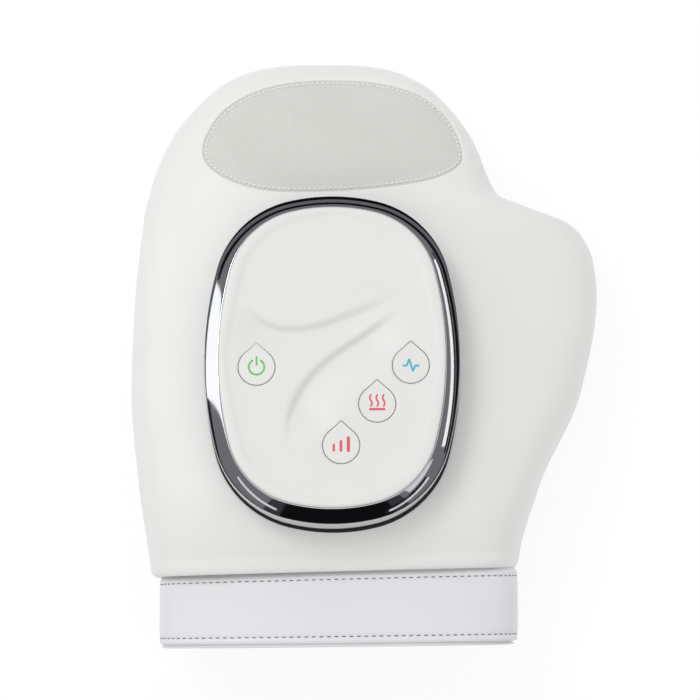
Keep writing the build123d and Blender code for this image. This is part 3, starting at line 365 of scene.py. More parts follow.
# %% From two surface coordinates to a point
ROLL, ROLL_DEPTH = 6.5, 3.2
UPPER_POWER, LOWER_POWER, THUMB_POWER = 3.2, 2.6, 1.95
TABLE_BLEND = 1.2
V_ROLL = float(np.interp(WRIST_Y + ROLL, Y_TABLE, V_TABLE))
V_START = V_ROLL - 2.2 * ROLL
V_TIP = float(V_TABLE[-1])
V_LAST = V_TIP - 1.8  # past this the section is too narrow for rows, so a pole closes the nose


def smooth_step(t):
    t = np.clip(t, 0, 1)
    return t * t * (3 - 2 * t)


def superellipse(c, s, power):
    """Distance from the middle to a superellipse's edge in the direction with that cosine and sine."""
    return (np.abs(c) ** power + np.abs(s) ** power) ** (-1 / power)


def slant(x, y):
    """How far the wrist's joint line is drawn towards the fingers at x."""
    share = np.where(y < BODY_START_Y, 0.4 + 0.6 * np.clip((y + 125) / 33, 0, 1), smooth_step((-60 - y) / 32))
    return 0.028 * (x + 11.7) * share


def side_form(right, y, power):
    """Width of one side from the spine, and the section's power there, rounder where the thumb stands out."""
    side = np.where(right, np.interp(y, Y_TABLE, RIGHT) - SPINE_X, SPINE_X - np.interp(y, Y_TABLE, LEFT))
    return side, np.where(right, power + (THUMB_POWER - power) * np.interp(y, Y_TABLE, THUMB), power)


def section(angle, y):
    """X and Z of the mitten's outline at y, for arrays of angles and places."""
    c, s = np.cos(angle), np.sin(angle)
    side, power = side_form(c >= 0, y, np.where(s >= 0, UPPER_POWER, LOWER_POWER))
    r = superellipse(c, s, power)
    z = SEAM_Z + np.where(s >= 0, np.interp(y, Y_TABLE, CROWN), np.interp(y, Y_TABLE, SOLE)) * r * s
    flat = np.where(z < -TABLE_BLEND, 0.0, (z + TABLE_BLEND) ** 2 / (4 * TABLE_BLEND))
    return SPINE_X + side * r * c, np.where(z > TABLE_BLEND, z, flat)


def bare_skin(angle, v):
    """Points of the skin in millimetres, as rows of x, y, z."""
    y = np.interp(np.maximum(v, V_ROLL), V_TABLE, Y_TABLE)
    turn = np.maximum(0, (V_ROLL - v) / ROLL)
    x, z = section(angle, y)
    x1, z1 = section(angle - 0.01, y)
    x2, z2 = section(angle + 0.01, y)
    inset = ROLL_DEPTH * (1 - np.cos(turn)) / np.maximum(np.hypot(x2 - x1, z2 - z1), 1e-6)
    x, z = x - inset * (z2 - z1), z + inset * (x2 - x1)
    y = y - ROLL * np.sin(turn)
    return np.stack([x, y + slant(x, y), z], axis=-1)


def skin(angle, v, lift=0.0):
    """Points of the skin, lifted outward. The direction comes from short chords along and around it."""
    angle, v = np.asarray(angle, float), np.asarray(v, float)
    lift = np.broadcast_to(np.asarray(lift, float), angle.shape)[..., None]
    near_v = np.minimum(v, V_TIP - 0.5)
    along = bare_skin(angle, near_v + 0.25) - bare_skin(angle, near_v - 0.25)
    around = bare_skin(angle + 0.004, near_v) - bare_skin(angle - 0.004, near_v)
    out = np.cross(along, around)
    return bare_skin(angle, v) + out / np.maximum(np.linalg.norm(out, axis=-1, keepdims=True), 1e-9) * lift


def skin_place(x, y):
    """Angle and distance along the crown of the upper skin above a point of the plan."""
    side, power = side_form(x >= SPINE_X, y, UPPER_POWER)
    across = np.clip((x - SPINE_X) / side, -0.9999, 0.9999)
    up = (1 - np.abs(across) ** power) ** (1 / power)
    return np.arctan2(up, across), np.interp(y, Y_TABLE, V_TABLE)


print("top of the mitten at the pod:", skin(*skin_place(np.array([-13.7]), np.array([-9.2]))).round(2))

# %% [markdown]
# The window over the fingertips is cut along a closed curve through points read from the plan. A Catmull-Rom curve
# passes through every one of them, and the result is spaced evenly so that hems and stitches run at an even pitch.

# %% Outline of the window
WINDOW_MIDDLE, WINDOW_HALF = np.array([-13.7, 90.2]), np.array([55.2, 25.8])
WINDOW_POINTS = [
    (-1.000, -0.228), (-0.971, 0.037), (-0.867, 0.408), (-0.700, 0.690), (-0.470, 0.890), (-0.218, 0.982),
    (0.000, 1.000), (0.267, 0.971), (0.534, 0.861), (0.727, 0.677), (0.871, 0.402), (0.964, 0.049),
    (1.000, -0.261), (0.985, -0.440), (0.900, -0.620), (0.740, -0.775), (0.526, -0.876), (0.264, -0.949),
    (-0.021, -0.992), (-0.306, -1.000), (-0.522, -0.964), (-0.713, -0.857), (-0.879, -0.672), (-0.975, -0.460),
]


def even_spacing(points, count, closed=True):
    """The same line with a given number of evenly spaced points."""
    line = np.vstack([points, points[:1]]) if closed else np.asarray(points)
    run = np.concatenate([[0], np.cumsum(np.linalg.norm(np.diff(line, axis=0), axis=1))])
    at = np.linspace(0, run[-1], count, endpoint=not closed)
    return np.stack([np.interp(at, run, line[:, k]) for k in range(line.shape[1])], axis=-1)


def curve_through(points, closed=True):
    """A Catmull-Rom curve through points, in 24 steps from one to the next."""
    p, made = np.asarray(points, float), []
    n = len(p)
    for i in range(n if closed else n - 1):
        a, b, c, d = (p[(i + k) % n] if closed else p[min(max(i + k, 0), n - 1)] for k in (-1, 0, 1, 2))
        bend, twist = 2 * a - 5 * b + 4 * c - d, 3 * b - a - 3 * c + d
        made += [0.5 * (2 * b + (c - a) * t + bend * t**2 + twist * t**3) for t in np.arange(24) / 24]
    return np.array(made if closed else made + [p[-1]])


def inset_line(line, inset):
    """A closed line that runs clockwise in plan, moved inward."""
    along = np.roll(line, -1, axis=0) - np.roll(line, 1, axis=0)
    along /= np.linalg.norm(along, axis=1, keepdims=True)
    return line + inset * np.stack([along[:, 1], -along[:, 0]], axis=-1)


WINDOW_LINE = even_spacing(curve_through(WINDOW_MIDDLE + WINDOW_HALF * WINDOW_POINTS), 260)
print("the window is", np.ptp(WINDOW_LINE, axis=0).round(1), "mm in plan")

# %% [markdown]
# The pod's outline is an oval of circular arcs, so an inset of it is exact, and it lives in the pod's own tilted
# frame. Points of it are named by the direction of the outward normal. Each quarter has three arcs: the side, a
# tight corner and the end.

# %% Outline of the pod
SIDE_R, CORNER_R, END_R = 150.0, 40.0, 78.0
SIDE_X, END_Y = SIDE_R - 104.6 / 2, END_R - 136.9 / 2
to_side, to_end = SIDE_R - CORNER_R, END_R - CORNER_R
apart = math.hypot(SIDE_X, END_Y)
SIDE_END = math.acos((to_side**2 + apart**2 - to_end**2) / (2 * to_side * apart)) - math.atan2(END_Y, SIDE_X)
CORNER_X, CORNER_Y = to_side * math.cos(SIDE_END) - SIDE_X, to_side * math.sin(SIDE_END)
CORNER_END = math.atan2(CORNER_Y + END_Y, CORNER_X)
OVAL_PITCH = 1.2
quarter = [0.0]
while quarter[-1] < math.pi / 2:
    radius = SIDE_R if quarter[-1] < SIDE_END else (CORNER_R if quarter[-1] < CORNER_END else END_R)
    quarter.append(quarter[-1] + OVAL_PITCH / radius)
quarter = np.array(quarter[:-1]) * (math.pi / 2) / quarter[-1]
OVAL = np.concatenate([quarter, math.pi - quarter, math.pi + quarter, 2 * math.pi - quarter])
OVAL = np.unique(np.round(OVAL % (2 * math.pi), 9))


def pod_outline(inset):
    """The pod's oval in its own frame, moved inward."""
    fold = np.arctan2(np.abs(np.sin(OVAL)), np.abs(np.cos(OVAL)))
    side, end = fold < SIDE_END, fold > CORNER_END
    radius = np.where(side, SIDE_R, np.where(end, END_R, CORNER_R)) - inset
    x = np.where(side, -SIDE_X, np.where(end, 0.0, CORNER_X)) + radius * np.cos(fold)
    y = np.where(side, 0.0, np.where(end, -END_Y, CORNER_Y)) + radius * np.sin(fold)
    return np.stack([np.sign(np.cos(OVAL)) * x, np.sign(np.sin(OVAL).round(12)) * y], axis=-1)


def pod_inset(x, y):
    """How far inside the pod's outline a point of its own frame lies."""
    x, y = np.abs(x), np.abs(y)
    inset = CORNER_R - np.hypot(x - CORNER_X, y - CORNER_Y)
    inset = np.where(np.arctan2(y, x + SIDE_X) <= SIDE_END, SIDE_R - np.hypot(x + SIDE_X, y), inset)
    return np.where(np.arctan2(y + END_Y, x) >= CORNER_END, END_R - np.hypot(x, y + END_Y), inset)


POD = np.array([-13.7, -9.2, 75.8])
POD_TURN = np.array([[1, 0, 0], [0, math.cos(TILT), -math.sin(TILT)], [0, math.sin(TILT), math.cos(TILT)]])


def from_pod(points):
    """Moves points from the pod's own frame onto the mitten."""
    return np.asarray(points, float) @ POD_TURN + POD


def leather_height(x, y):
    """Height of the leather in the pod's frame under points of that frame, found by stepping towards it."""
    z = np.zeros_like(x)
    for _ in range(12):
        world = from_pod(np.stack([x, y, z], axis=-1))
        top = bare_skin(*skin_place(world[:, 0], world[:, 1]))[:, 2]
        z = z + (top - world[:, 2]) / math.cos(TILT)
    return z


def pod_row(inset, z):
    """Points round the oval at one height of the pod's frame, or at a height for each."""
    return np.column_stack([pod_outline(inset), np.broadcast_to(z, len(OVAL))])


def foot_row(inset, depth=0.0):
    """Points round the oval at the leather's own height, or under it."""
    return pod_row(inset, leather_height(*pod_outline(inset).T) - depth)


print("oval has", len(OVAL), "points; its foot dips to", foot_row(0)[:, 2].min().round(2), "mm")

# %% [markdown]
# A sheet with curved holes is awkward to cut from a regular grid. Delaunay triangulation does it cleanly: spread
# points over the flat pattern, add the outlines as fixed edges, triangulate, drop the triangles inside the holes,
# and only then wrap the pattern round the mitten. The holes' edges come out exact and the mesh stays even.

# %% Cutting a sheet with holes


def inside(points, line):
    """Which points of a plane lie inside a closed line."""
    x, y = points[:, 0], points[:, 1]
    hit = np.zeros(len(points), bool)
    for (x1, y1), (x2, y2) in zip(line, np.roll(line, -1, axis=0)):
        if y1 != y2:
            hit ^= ((y1 > y) != (y2 > y)) & (x < (x2 - x1) * (y - y1) / (y2 - y1) + x1)
    return hit


def on_sheet(points, boundary, holes):
    """Which points lie inside the boundary and outside every hole."""
    good = inside(points, boundary)
    for hole in holes:
        good &= ~inside(points, hole)
    return good


def line_gap(points, line):
    """Distance from each point to the nearest point of a line, up to 99 mm."""
    gap = np.full(len(points), 99.0)
    for spot in line:
        gap = np.minimum(gap, np.linalg.norm(points - spot, axis=1))
    return gap


def cut_sheet(boundary, holes, pitch, extra=()):
    """Flat points and triangles of a sheet with holes, and the points of the boundary and of each hole."""
    lines = [boundary, *holes]
    low, high = boundary.min(axis=0), boundary.max(axis=0)
    filling = []
    for k, y in enumerate(np.arange(low[1] + pitch / 2, high[1], pitch * 0.866)):
        x = np.arange(low[0] + pitch * (0.25 + 0.5 * (k % 2)), high[0], pitch)
        filling.append(np.stack([x, np.full_like(x, y)], axis=-1))
    filling = np.vstack([*filling, *extra])
    keep = on_sheet(filling, boundary, holes) & (line_gap(filling, np.vstack(lines)) >= pitch * 0.55)
    spans, start = [], 0
    for line in lines:
        spans.append(np.arange(start, start + len(line)))
        start += len(line)
    edges = [pair for span in spans for pair in zip(span.tolist(), np.roll(span, -1).tolist())]
    spread = np.vstack([*lines, filling[keep]])
    result = delaunay_2d_cdt([Vector(p) for p in spread.tolist()], edges, [], 0, 1e-6)
    flat, triangles = np.array([tuple(p) for p in result[0]]), np.array(result[2])
    good = on_sheet(flat[triangles].mean(axis=1), boundary, holes)
    home = {old: new for new, olds in enumerate(result[3]) for old in olds}
    return flat, triangles[good], [[home[i] for i in span] for span in spans]


def hem(points, faces, ring, rows, flip=False):
    """Adds rows of points beyond a ring of the sheet and joins them to it."""
    points, faces, before = list(points), list(faces), list(ring)
    for row in rows:
        now = list(range(len(points), len(points) + len(row)))
        points += list(row)
        for i in range(len(now)):
            j = (i + 1) % len(now)
            quad = (before[i], before[j], now[j], now[i])
            faces.append(quad[::-1] if flip else quad)
        before = now
    return points, faces


square = np.array([(0, 0), (10, 0), (10, 10), (0, 10)], float)
print("a 10 mm square cut at a 2 mm pitch has", len(cut_sheet(square, [], 2.0)[1]), "triangles")

# %% [markdown]
# The upper leather is one panel, from the seam on one side over the hand to the seam on the other. First come its
# flat pattern, where the angle round the hand is laid out as millimetres, and the two holes in it.

# %% Pattern of the upper leather
GIRTH = 84.0
CUT_PITCH, RUN_PITCH = 1.7, 1.6


def flat_place(x, y):
    """Where a point of the plan lies on the leather's flat pattern."""
    angle, v = skin_place(x, y)
    return np.stack([angle * GIRTH, v], axis=-1)


def foot_pattern(inset):
    """The pod's outline, moved inward, as it lies on the flat pattern."""
    return flat_place(*from_pod(foot_row(inset))[:, :2].T)


across = np.linspace(0, math.pi * GIRTH, 170)
runs = np.arange(V_START, V_LAST, RUN_PITCH)[1:]
panel_edge = np.vstack([
    np.column_stack([across, np.full_like(across, V_START)]),
    np.column_stack([np.full_like(runs, math.pi * GIRTH), runs]),
    np.column_stack([across[::-1], np.full_like(across, V_LAST)]),
    np.column_stack([np.zeros_like(runs), runs[::-1]]),
])
panel_holes = [flat_place(*inset_line(WINDOW_LINE, -0.5).T), foot_pattern(3.0)]
foot_rows = [foot_pattern(-out) for out in (0.0, 0.3, 0.7, 1.3, 2.2)]
flat, triangles, rings = cut_sheet(panel_edge, panel_holes, CUT_PITCH, extra=foot_rows)
print("the flat pattern has", len(flat), "points")

# %% [markdown]
# Wrapped round the mitten, the panel gets its relief. Round the window its edge is folded under, which raises a low
# hem, and under the chrome ring it is pressed down a little. At the side seams both panels dip, so a fine shadow line
# runs round the mitten. A fan of faces closes the nose.

# %% Upper leather
NOSE = [-17.8, TIP_Y - 0.05, SEAM_Z]


def seam_dip(angle, v):
    """Both panels dip where they meet along the side, except at the nose's very tip."""
    off = np.abs(bare_skin(angle, v)[..., 2] - SEAM_Z)
    return -0.5 * np.exp(-((off / 0.9) ** 2)) * smooth_step((V_LAST - v) / 2.5)


def leather_lift(angle, v):
    """Hem round the window, dent under the ring and dip at the side seam."""
    points = bare_skin(angle, v)
    gap = np.where(points[:, 1] > 55, line_gap(points[:, :2], WINDOW_LINE), 99.0)
    own = (points - POD) @ POD_TURN.T
    out = np.maximum(-pod_inset(own[:, 0], own[:, 1]), 0)
    dent = np.where(own[:, 2] > -30, -0.5 * np.exp(-((out / 4.0) ** 2)) - 0.4 * np.exp(-((out / 0.6) ** 2)), 0.0)
    return 0.2 * (1 - smooth_step((gap - 1.0) / 3.5)) + dent + seam_dip(angle, v)


angle, v = flat[:, 0] / GIRTH, flat[:, 1]
hem_rows = [
    skin(*skin_place(*inset_line(WINDOW_LINE, inset).T), lift)
    for inset, lift in ((-0.15, 0.12), (0.0, -0.1), (0.05, -1.3))
]
points, faces = hem(skin(angle, v, leather_lift(angle, v)), [t[::-1] for t in triangles], rings[1], hem_rows, flip=True)
top_row = [i for i in rings[0] if flat[i, 1] > V_LAST - 0.05]
points.append(np.array(NOSE))
faces += [(a, b, len(points) - 1) for a, b in zip(top_row, top_row[1:])]
upper_leather = mesh_object("upper_leather", points, faces, FINISHES["leather"])
print("upper leather", len(points), "points")

# %% [markdown]
# The lower leather carries on the same skin under the hand, down to the flat sole. It has no holes, so a plain grid
# of points is enough, closer together towards the nose and closed there with one pole.

# %% Lower leather
ROWS = 150
rows_v = V_START + (V_LAST - V_START) * (1 - (1 - np.linspace(0, 1, ROWS)) ** 1.15)
by_seam = np.array([0, 0.005, 0.012])
turns = math.pi + np.concatenate([by_seam, np.linspace(0.022, math.pi - 0.022, 150), math.pi - by_seam[::-1]])
vv, aa = np.meshgrid(rows_v, turns, indexing="ij")
lower = skin(aa.ravel(), vv.ravel(), seam_dip(aa.ravel(), vv.ravel()))
lower[:, 2] = np.maximum(lower[:, 2], 0.0)
last_row = (ROWS - 1) * len(turns)
faces = grid_faces(ROWS, len(turns), flip=True)
faces += [(len(lower), last_row + c + 1, last_row + c) for c in range(len(turns) - 1)]
lower_leather = mesh_object("lower_leather", np.vstack([lower, [NOSE]]), faces, FINISHES["leather"])
print("lower leather", len(lower) + 1, "points, lowest z", lower[:, 2].min().round(3))

# %% [markdown]
# The panels meet the table and the hand through padding. The cloth solver swells a panel between its sewn lines
# better than a formula can: points on the seams are pinned, a small pressure pushes the rest out, and each point's
# travel is capped before the result is kept as the mesh.

# %% Swelling a sewn panel


def swell(obj, weights, pressure, limit_mm, frames=20):
    """Runs the cloth solver on a panel whose seams are pinned and keeps the capped result."""
    seams = obj.vertex_groups.new(name="seams")
    for index, weight in enumerate(weights):
        seams.add([index], float(weight), "REPLACE")
    cloth = obj.modifiers.new("swell", "CLOTH").settings
    cloth.vertex_group_mass = "seams"
    cloth.quality = 6
    cloth.tension_stiffness = cloth.compression_stiffness = 15.0
    cloth.bending_stiffness = 0.5
    cloth.use_pressure, cloth.uniform_pressure_force = True, pressure
    cloth.effector_weights.gravity = 0
    rest = np.array([v.co for v in obj.data.vertices])
    for step in range(1, frames + 1):
        bpy.context.scene.frame_set(step)
    graph = bpy.context.evaluated_depsgraph_get()
    shift = np.array([v.co for v in obj.evaluated_get(graph).data.vertices]) - rest
    obj.modifiers.clear()
    obj.vertex_groups.clear()
    bpy.context.scene.frame_set(1)
    size = np.linalg.norm(shift, axis=1, keepdims=True)
    shift *= np.minimum(1, limit_mm * MM / np.maximum(size, 1e-9))
    obj.data.vertices.foreach_set("co", (rest + shift).ravel())
    obj.data.update()
    print(obj.name, "swelled by up to", (np.linalg.norm(shift, axis=1).max() / MM).round(2), "mm")


# %% [markdown]
# The window panel lies just under the hem. Its edge is held down by the stitches, which sit 1.4 mm inside it, and the
# padding behind lifts the middle. So the panel is cut flat like the leather, sunk where it passes under the hem, and
# swelled with its edge pinned.

# %% Window panel
STITCH_INSET = 1.4
edge_flat, stitch_flat, inner_flat = (flat_place(*inset_line(WINDOW_LINE, d).T) for d in (-0.3, STITCH_INSET, 2.6))
flat, triangles, _ = cut_sheet(edge_flat, [], 1.5, extra=[stitch_flat, inner_flat])
angle, v = flat[:, 0] / GIRTH, flat[:, 1]
edge_gap = line_gap(bare_skin(angle, v)[:, :2], WINDOW_LINE)
groove = -0.8 + 0.4 * smooth_step(edge_gap / 1.1) + 0.3 * smooth_step((edge_gap - 1.5) / 8)
panel_faces = [t[::-1] for t in triangles]
window_panel = mesh_object("window_panel", skin(angle, v, groove), panel_faces, FINISHES["window_fabric"])
swell(window_panel, np.where(edge_gap < 2.0, 1.0, 0.35), 0.6, 0.6)
print("window panel", len(flat), "points")

# %% [markdown]
# The cuff is a padded band sewn to the body. Each cross-section blends from the band's outline to the hand's opening,
# so one table of places along the hand and depths inward draws the whole profile: the tucked edge, two sewn lines,
# the swelling between them, a piped lip at the mouth and the turn into the lining.

# %% Cuff band
CUFF_COLUMNS, OPENING_INSET = 260, 10.4
# Middle x, half width, middle z, half height and power of the section.
BAND, OPENING = np.array([-11.2, 75.7, 35.25, 33.25, 2.7]), np.array([-12.9, 66.0, 35.25, 23.75, 2.5])


def cuff_points(profile):
    """Rings of the cuff. The profile is rows of y and inset; an inset of OPENING_INSET is the hand's opening."""
    turns = np.linspace(0, 2 * math.pi, CUFF_COLUMNS, endpoint=False)
    c, s = np.cos(turns), np.sin(turns)
    rings = []
    for y, inset in profile:
        middle_x, half, middle_z, rise, power = BAND + (OPENING - BAND) * inset / OPENING_INSET
        r = superellipse(c, s, power)
        x = middle_x + half * r * c
        rings.append(np.stack([x, y + slant(x, np.full_like(x, y)), middle_z + rise * r * s], axis=-1))
    return np.vstack(rings)


CUFF_PROFILE = [
    (-91.0, 5.0), (-92.4, 3.0), (-93.4, 2.0), (-94.2, 1.3), (-94.9, 0.75), (-95.5, 0.38), (-96.2, 0.12), (-96.9, 0.2),
    (-97.5, 0.6), (-98.1, 0.2), (-99.2, 0.05), (-101.0, 0.0), (-103.0, 0.0), (-105.5, 0.0), (-108.0, 0.0),
    (-110.5, 0.0), (-113.0, 0.0), (-115.5, 0.0), (-117.8, 0.0), (-119.4, 0.05), (-120.4, 0.25), (-121.0, 0.6),
    (-121.6, 0.25), (-122.4, 0.1), (-123.0, 0.2), (-123.5, 0.7), (-123.8, 1.7), (-124.1, 2.3), (-124.4, 1.8),
    (-124.8, 1.5), (-125.1, 2.0), (-125.3, 3.2), (-125.3, 5.0), (-125.1, 6.8), (-124.7, 8.4), (-123.8, 9.6),
    (-122.4, 10.3), (-120.5, 10.6), (-118.0, 10.8),
]
cuff_faces = grid_faces(len(CUFF_PROFILE), CUFF_COLUMNS, closed=True)
cuff = mesh_object("cuff_leather", cuff_points(CUFF_PROFILE), cuff_faces, FINISHES["cuff_leather"])
swell(cuff, np.repeat([0.12 if -119.0 < y < -99.0 else 1.0 for y, inset in CUFF_PROFILE], CUFF_COLUMNS), 1.2, 1.0)
print("cuff", len(cuff_faces), "faces")

# %% [markdown]
# Sewn lines are the clearest case for Geometry Nodes: one tree resamples a line at the stitch pitch, turns a small
# rounded bead along it at each point and makes the copies real. The lines themselves come from the same functions as
# the panels, so the thread lies on the cloth.

# %% Tree for stitches


def stitch_tree():
    """Beads of thread along a line, with named inputs for their sizes."""
    tree = bpy.data.node_groups.new("stitch_row", "GeometryNodeTree")
    kinds = {"Line": "Geometry", "Pitch": "Float", "Length": "Float", "Thickness": "Float", "Thread": "Material"}
    for label, kind in kinds.items():
        tree.interface.new_socket(label, in_out="INPUT", socket_type="NodeSocket" + kind)
    tree.interface.new_socket("Stitches", in_out="OUTPUT", socket_type="NodeSocketGeometry")
    given = node(tree, "NodeGroupInput").outputs
    line = node(tree, "GeometryNodeMeshToCurve", {"Mesh": given["Line"]})
    spaced = {"Curve": line.outputs[0], "Length": given["Pitch"]}
    spots = node(tree, "GeometryNodeCurveToPoints", spaced, mode="LENGTH").outputs
    bead = node(tree, "GeometryNodeMeshUVSphere", {"Segments": 8, "Rings": 6, "Radius": 0.5})
    sizes = {"X": given["Thickness"], "Y": given["Thickness"], "Z": given["Length"]}
    size = node(tree, "ShaderNodeCombineXYZ", sizes)
    long_bead = node(tree, "GeometryNodeTransform", {"Geometry": bead.outputs[0], "Scale": size.outputs[0]})
    copies = {"Points": spots["Points"], "Instance": long_bead.outputs[0], "Rotation": spots["Rotation"]}
    row = node(tree, "GeometryNodeInstanceOnPoints", copies)
    real = node(tree, "GeometryNodeRealizeInstances", {0: row.outputs[0]})
    smooth = node(tree, "GeometryNodeSetShadeSmooth", {0: real.outputs[0]})
    coated = node(tree, "GeometryNodeSetMaterial", {"Geometry": smooth.outputs[0], "Material": given["Thread"]})
    node(tree, "NodeGroupOutput", {0: coated.outputs[0]})
    return tree


STITCH_TREE = stitch_tree()
print("stitch tree has", len(STITCH_TREE.nodes), "nodes")

# %% [markdown]
# Each row is a closed line of points laid on the finished panel. The window's is white thread in a small groove, the
# cuff's two are grey thread sunk between the padding.

# %% Rows of stitches


def stitch_row(name, line, pitch, length, thickness, thread):
    """A finished row of stitches along a closed line, with sizes in millimetres."""
    mesh = bpy.data.meshes.new(name)
    count = len(line)
    mesh.from_pydata([tuple(p * MM) for p in line], [(i, (i + 1) % count) for i in range(count)], [])
    obj = add_object(name, mesh)
    maker = obj.modifiers.new("stitches", "NODES")
    maker.node_group = STITCH_TREE
    values = {"Pitch": pitch * MM, "Length": length * MM, "Thickness": thickness * MM, "Thread": thread}
    for item in STITCH_TREE.interface.items_tree:
        if item.in_out == "INPUT" and item.name in values:
            maker[item.identifier] = values[item.name]
    freeze(obj)
    print(name, "has", len(obj.data.vertices) // 42, "stitches")
    return obj


def on_mesh(line, obj, lift):
    """Moves a line onto the nearest points of a finished mesh, lifted by a little."""
    placed = []
    for p in line:
        hit, spot, normal, _ = obj.closest_point_on_mesh(Vector(p * MM))
        placed.append(np.array(spot + normal * lift * MM) / MM)
    return np.array(placed)


window_row = skin(*skin_place(*inset_line(WINDOW_LINE, STITCH_INSET).T), -0.2)
window_stitches = stitch_row(
    "window_stitches", on_mesh(window_row, window_panel, 0.2), 2.15, 1.4, 0.85, THREADS["white"]
)
cuff_stitches = [
    stitch_row(name, on_mesh(cuff_points([(y, 0.6)]), cuff, 0.08), 3.1, 1.8, 0.58, THREADS["grey"])
    for name, y in (("cuff_upper_stitches", -97.5), ("cuff_lower_stitches", -121.0))
]

# %% [markdown]
# The chrome ring is plated plastic with a crowned face. A smooth profile carried round the oval gives long, clean
# reflections, which a faceted CAD face can't. Its foot follows the leather all the way round, and the slot for the
# charging socket is cut at the finger end.

# %% Chrome ring
RING_WIDTH, RING_WALL, FOOT_DEPTH = 5.9, 1.9, 0.75
RING_PROFILE = [
    (0.00, 3.0), (0.00, 8.0), (0.00, 12.2), (0.03, 12.62), (0.12, 12.95), (0.30, 13.24), (0.60, 13.56), (1.00, 13.97),
    (1.50, 14.46), (2.10, 15.01), (2.80, 15.61), (3.50, 16.17), (4.20, 16.69), (4.80, 17.1), (5.20, 17.35),
    (5.50, 17.51), (5.70, 17.58), (5.83, 17.58), (RING_WIDTH, 17.47), (RING_WIDTH, 15.9), (4.00, 14.07),
    (RING_WALL, 12.05), (RING_WALL, 3.0),
]
SLOT_HALF, SLOT_R, SLOT_Z = 2.84, 1.88, 4.1


def carried_round(name, rows, material, flip=False):
    """A closed profile carried round the oval."""
    faces = grid_faces(len(rows), len(OVAL), closed=True, wrap=True, flip=flip)
    made = mesh_object(name, from_pod(np.vstack(rows)), faces, material)
    edit_mesh(made, face_outward)
    return made


rows = [foot_row(0, FOOT_DEPTH), *(pod_row(*spot) for spot in RING_PROFILE), foot_row(RING_WALL, FOOT_DEPTH)]
chrome_ring = carried_round("chrome_ring", rows, FINISHES["chrome"])
arc = [(side, math.radians(start + t)) for side, start in ((1, -90), (-1, 90)) for t in range(0, 181, 15)]
slot = [(side * SLOT_HALF + SLOT_R * math.cos(a), SLOT_Z + SLOT_R * math.sin(a)) for side, a in arc]
ends = from_pod([(x, y, z) for y in (80.0, 62.5) for x, z in slot])
caps = [tuple(range(len(slot)))[::-1], tuple(range(len(slot), 2 * len(slot)))]
cutter = mesh_object("slot_cutter", ends, grid_faces(2, len(slot), closed=True) + caps)
edit_mesh(cutter, face_outward)
cut = chrome_ring.modifiers.new("socket slot", "BOOLEAN")
cut.operation, cut.solver, cut.object = "DIFFERENCE", "EXACT", cutter
freeze(chrome_ring)
bpy.data.objects.remove(cutter)
chrome_ring.data.set_sharp_from_angle(angle=math.radians(35))
print("ring has", len(chrome_ring.data.polygons), "faces")

# %% [markdown]
# A rubber seal lies between the ring and the leather. Its black lip looks out by 0.4 mm, and by twice that towards the
# wrist. It is partly a real seal and partly painted shade: its black stands for the contact shadow at the ring's foot,
# drawn wider where the pod's shadow falls. Its section is carried round the oval at the leather's own height.

# %% Seal lip, black as painted contact shadow at the ring's foot
LIP_PROFILE = [(0.0, 0.28), (-0.16, 0.26), (-0.32, 0.15), (-0.42, -0.05), (-0.42, -0.7), (0.0, -0.7)]
# Painted shade: the lip looks out further towards 280 degrees, where the shadow of the lamp at the upper left falls.
wider_where_shadow_falls = 1 + 1.1 * np.clip(np.cos(OVAL - math.radians(280)), 0, 1) ** 1.5
lip_rows = [foot_row(inset * wider_where_shadow_falls, 0.5 - rise) for inset, rise in LIP_PROFILE]
seal_lip_painted_shade = carried_round("seal_lip_painted_shade", lip_rows, FINISHES["rubber"], flip=True)
print("seal lip has", len(seal_lip_painted_shade.data.polygons), "faces")

# %% [markdown]
# The white cover is the piece that the eye rests on. Its rim stands proud, its field is dished, and two creases run
# across it and fade out: past each the surface falls steeply, then climbs back over 20 mm. It is a height map over
# the oval: a rule gives the height at each point, and the drop-shaped holes are cut before the sheet is raised.

# %% Heights of the cover
UPPER_CREASE = curve_through(
    [(-35.5, 21.5), (-30, 15.6), (-23, 12), (-14, 11.4), (-4.6, 13.1), (7.5, 17.6), (19.6, 22.6), (28, 26)], False
)
LOWER_CREASE = curve_through(
    [(28.5, 20.6), (19.6, 13.9), (11.5, 8.1), (3.4, 2.7), (-3.8, -3.1), (-10.7, -10.6), (-15.6, -19), (-18.2, -28),
     (-18.8, -38)], False
)
FIELD_Z, RIM_Z = 18.0, 18.7


def along_line(points, line):
    """Signed distance from a line, positive on its right, and the share of the line passed."""
    best = np.full(len(points), 1e9)
    signed, share = np.zeros(len(points)), np.zeros(len(points))
    for k, (a, d) in enumerate(zip(line[:-1], np.diff(line, axis=0))):
        rel = points - a
        t = np.clip(rel @ d / (d @ d), 0, 1)
        gap = np.linalg.norm(rel - t[:, None] * d, axis=1)
        closer = gap < best
        best = np.where(closer, gap, best)
        signed = np.where(closer, gap * np.sign(rel[:, 0] * d[1] - rel[:, 1] * d[0]), signed)
        share = np.where(closer, (k + t) / (len(line) - 1), share)
    return signed, share


def crease_height(points, line, fall, width, reach, fade_in, fade_out):
    """A steep fall at the crease and a terrace on its right that climbs back."""
    signed, share = along_line(points, line)
    fade = smooth_step(share / fade_in) * smooth_step((1 - share) / fade_out)
    return -fall * smooth_step(signed / width + 0.5) * (1 - smooth_step(signed / reach)) * fade


